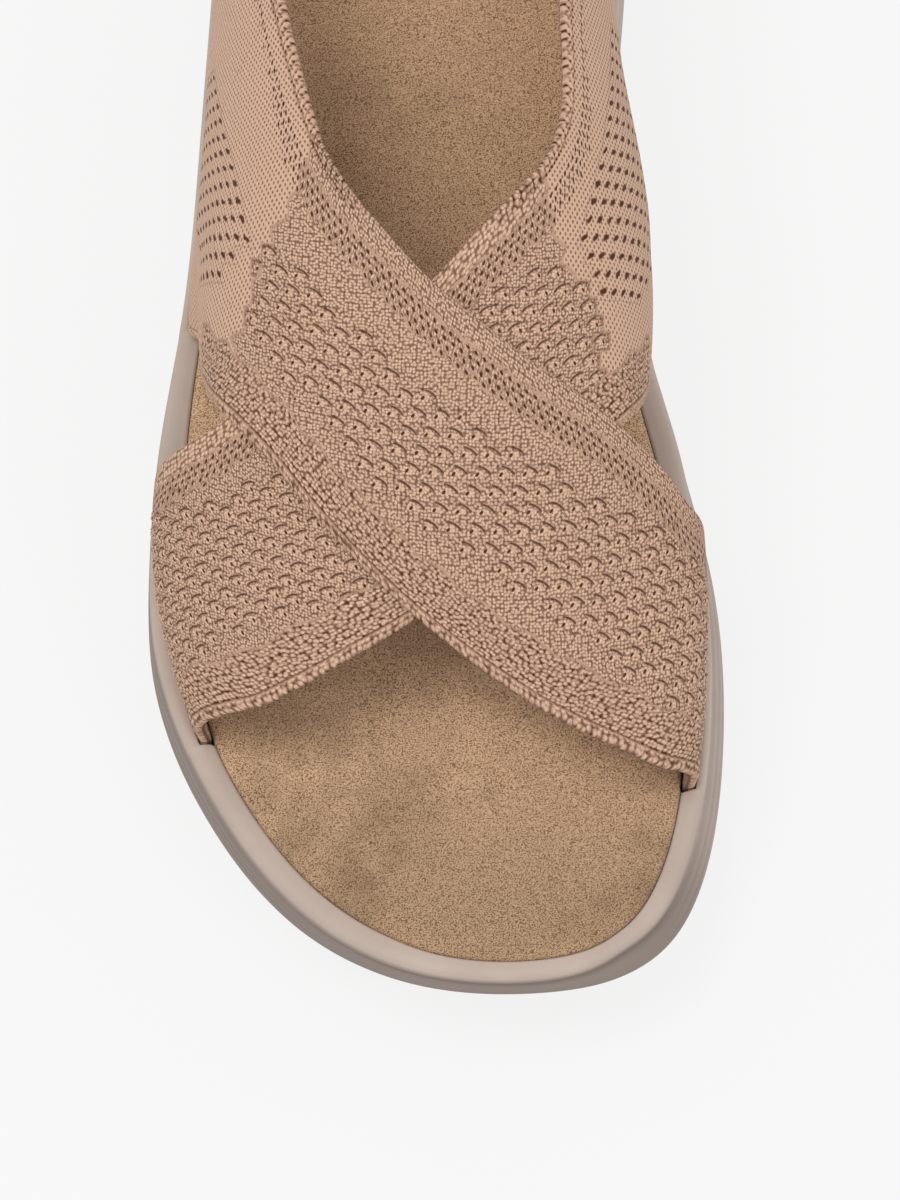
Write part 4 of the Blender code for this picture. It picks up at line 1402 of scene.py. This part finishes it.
def knitMaterial():
    look = knitLook
    paint = Paint("knitYarn", **{"Sheen Weight": 0.03, "Sheen Roughness": 0.5,
                                 "Specular IOR Level": 0.12})
    where = paint.place()
    stitch = paint.parts("stitch")
    fine = paint.attribute("fine")
    wobble = paint.noise(where, 900.0, 1.0) - 0.5
    across = stitch[0] + wobble * look["strayAcross"]
    along = stitch[1] + wobble * look["strayAlong"]
    # the vees of fine stockinette
    side = paint.maths("ABSOLUTE", paint.wrap(across / look["wale"]) - 0.5)
    leg = 1 - ((side - 0.25) * 4.0) ** 2
    lean = paint.wrap(along / look["course"] + side * 1.3) * 2 - 1
    vees = paint.maths("SQRT", paint.maths("MAXIMUM", leg * (1 - lean * lean), 0.0))
    # the pebbly loops of the panels and bands
    spread = paint.stretched(paint.attribute("stitch", "Vector"),
                             (1 / look["beadAcross"], 1 / look["beadAlong"], 0.0))
    pebble = paint.node("ShaderNodeTexVoronoi", {"voronoi_dimensions": "2D"},
                        {"Vector": spread, "Scale": 1.0, "Randomness": 0.65}, "Distance")
    beads = 1 - paint.range(pebble, *look["beadEdge"])
    loops = vees * fine + beads * (1 - fine)
    loops = 1 - (1 - loops) * (1 - paint.parts("cell")[2] * look["quiet"])
    # the plain knit of the sides
    a = paint.maths("COSINE", across * (2 * math.pi / look["plainAcross"]))
    b = paint.maths("COSINE", along * (2 * math.pi / look["plainAlong"]))
    base, rise = look["plainLevel"]
    plain = base + rise * paint.range(a * b, -1.0, -0.15)
    isPlain = paint.maths("GREATER_THAN", stitch[2], 0.5)
    loops = loops * (1 - isPlain) + plain * isPlain
    seam = paint.attribute("seam")
    loops = loops * (1 - seam) + seam * look["seamLevel"]
    marks, gleam, crown = bumpMarks(paint)
    loops = paint.maths("MAXIMUM", loops, crown * look["crownLevel"])
    marks = paint.maths("MAXIMUM", marks, holeMarks(paint, wobble))
    fibre = paint.noise(where, 2600.0, 3.0, 0.6)
    height = loops * look["stitchDepth"] + fibre * look["fibreDepth"] - marks * look["markDepth"]
    # painted highlight on the loops' tops and along the bumps' creases
    lit = paint.maths("MAXIMUM", paint.range(loops, 0.72, 1.0) * look["lit"], gleam)
    colour = paint.mix(lit, look["yarn"], look["yarnHighlight"])
    gaps, hollows, fibres = look["dark"]
    # painted shade in the gaps between loops, in the relief's hollows and in the marks; the fibres
    # add their own darker tone
    dark = (1 - loops) * gaps + paint.attribute("hollow") * hollows + (fibre - 0.5) * fibres
    dark = paint.maths("MAXIMUM", paint.maths("MAXIMUM", dark, marks), 0.0)
    colour = paint.mix(paint.maths("MINIMUM", dark, 1.0), colour, look["yarnDeep"])
    return paint.finish(colour, 0.70 + (fibre - 0.5) * 0.2, height)


suedeLook = {
    "tan": rgba(0.318, 0.208, 0.126),
    "tanLight": rgba(0.720, 0.475, 0.292),
    "tanDeep": rgba(0.105, 0.047, 0.016),
    "napDepth": 0.12 * mm,
    "napSize": 4200.0,
    "darkest": (-0.120, -0.068),    # from the toe's shade to the lit ball, by the object's Y
}


def suedeMaterial():
    look = suedeLook
    paint = Paint("microSuede", **{"Sheen Weight": 0.25, "Sheen Roughness": 0.45,
                                   "Specular IOR Level": 0.15})
    where = paint.place()
    warp = paint.node("ShaderNodeTexNoise", {}, {"Vector": where, "Scale": 900.0, "Detail": 2.0}, 1)
    bent = paint.node("ShaderNodeVectorMath", {"operation": "MULTIPLY_ADD"},
                      {0: warp, 1: (0.0005,) * 3, 2: where})
    nap = paint.noise(bent, look["napSize"], 1.0, 0.6)
    grain = paint.range(nap, 0.34, 0.58)
    broad = paint.noise(where, 28.0, 3.0, 0.5)
    soft = paint.noise(where, 160.0, 2.0, 0.5)
    level = paint.node("ShaderNodeSeparateXYZ", {}, {0: where}, 1)
    # tone of the suede: random broad and soft patches, and along the object's Y painted shade at
    # the toe and painted light towards the ball
    shade = paint.range(broad * 0.7 + soft * 0.3, 0.38, 0.62) * 0.5
    shade = shade + paint.range(level, *look["darkest"]) * 0.9 - 0.15
    colour = paint.mix(shade, look["tan"], look["tanLight"])
    colour = paint.mix((1 - grain) * 0.85, colour, look["tanDeep"])
    roughness = 0.88 + (nap - 0.5) * 0.1
    return paint.finish(colour, roughness, nap * look["napDepth"])


foamLook = {
    "light": rgba(0.480, 0.385, 0.325),
    "dark": rgba(0.380, 0.300, 0.250),
    # under: colour of the painted shade on the lower wall
    "under": rgba(0.215, 0.172, 0.150),
    "depth": 0.020 * mm,
    "roughness": 0.58,
}
treadLook = {
    "light": rgba(0.42, 0.34, 0.29),
    "dark": rgba(0.33, 0.26, 0.22),
    # under: colour of the painted shade, as on the foam
    "under": rgba(0.215, 0.172, 0.150),
    "depth": 0.03 * mm,
    "roughness": 0.66,
}


def foamMaterial(name, look):
    paint = Paint(name, **{"Specular IOR Level": 0.35})
    where = paint.place()
    pebble = paint.noise(where, 3200.0, 2.0, 0.5)
    cloud = paint.noise(where, 70.0, 3.0, 0.55)
    colour = paint.mix(paint.range(cloud, 0.35, 0.65) * 0.35, look["light"], look["dark"])
    colour = paint.mix((1 - paint.range(pebble, 0.3, 0.6)) * 0.12, colour, look["dark"])
    # painted shade: the under attribute darkens the colour towards the under colour
    colour = paint.mix(paint.attribute("under"), colour, look["under"])
    return paint.finish(colour, look["roughness"] + (cloud - 0.5) * 0.12, pebble * look["depth"])


knitYarn = knitMaterial()
for piece in upperPieces:
    piece.data.materials.append(knitYarn)
insolePiece.data.materials.append(suedeMaterial())
midsolePiece.data.materials.append(foamMaterial("moldedFoam", foamLook))
outsolePiece.data.materials.append(foamMaterial("treadRubber", treadLook))
print("materials ready")


# Camera, floor and lights

studio = {
    "floorSize": 6.0,
    "floorLevel": -0.0002,
    "aim": (0, -0.03, 0.03),
    "floor": rgba(0.10, 0.10, 0.10),
    "floorGlow": 0.82,
    "sky": (1.0, 1.0, 1.0),
    "skyStrength": 0.78,
    "lamps": [
        ("keyLamp", (-0.40, -0.20, 1.20), 0.50, 5.0),
        ("fillLamp", (0.60, -0.75, 0.90), 0.60, 2.4),
    ],
}


def addCamera():
    e = math.radians(shot["elevation"])
    data = bpy.data.cameras.new("photoCamera")
    data.sensor_width = shot["sensor"]
    data.lens = shot["lens"]
    data.clip_start, data.clip_end = 0.05, 20.0
    camera = bpy.data.objects.new("photoCamera", data)
    back = Vector((0, -math.cos(e), math.sin(e)))
    camera.location = Vector(shot["target"]) + back * shot["distance"]
    camera.rotation_euler = (math.pi / 2 - e, 0, 0)
    bpy.context.scene.collection.objects.link(camera)
    bpy.context.scene.camera = camera


def addFloor():
    half = studio["floorSize"] / 2
    data = bpy.data.meshes.new("paleFloor")
    corners = [(-half, -half, 0), (half, -half, 0), (half, half, 0), (-half, half, 0)]
    data.from_pydata(corners, [], [(0, 1, 2, 3)])
    floor = bpy.data.objects.new("paleFloor", data)
    floor.location.z = studio["floorLevel"]
    paint = Paint("palePaper", **{"Base Color": studio["floor"], "Roughness": 0.9,
                                  "Specular IOR Level": 0.1})
    glow = {"Emission Color": rgba(1, 1, 1), "Emission Strength": studio["floorGlow"]}
    paint.feed(paint.surface, glow)
    data.materials.append(paint.material)
    bpy.context.scene.collection.objects.link(floor)


def addLights():
    world = bpy.data.worlds.new("paleStudio")
    bpy.context.scene.world = world
    world.use_nodes = True
    sky = world.node_tree.nodes["Background"]
    sky.inputs["Color"].default_value = (*studio["sky"], 1)
    sky.inputs["Strength"].default_value = studio["skyStrength"]
    for name, place, size, power in studio["lamps"]:
        data = bpy.data.lights.new(name, "AREA")
        data.shape = "DISK"
        data.size = size
        data.energy = power
        lamp = bpy.data.objects.new(name, data)
        lamp.location = place
        aim = Vector(studio["aim"]) - Vector(place)
        lamp.rotation_euler = aim.to_track_quat("-Z", "Y").to_euler()
        bpy.context.scene.collection.objects.link(lamp)


addCamera()
addFloor()
addLights()
bpy.context.scene.view_settings.view_transform = "Standard"
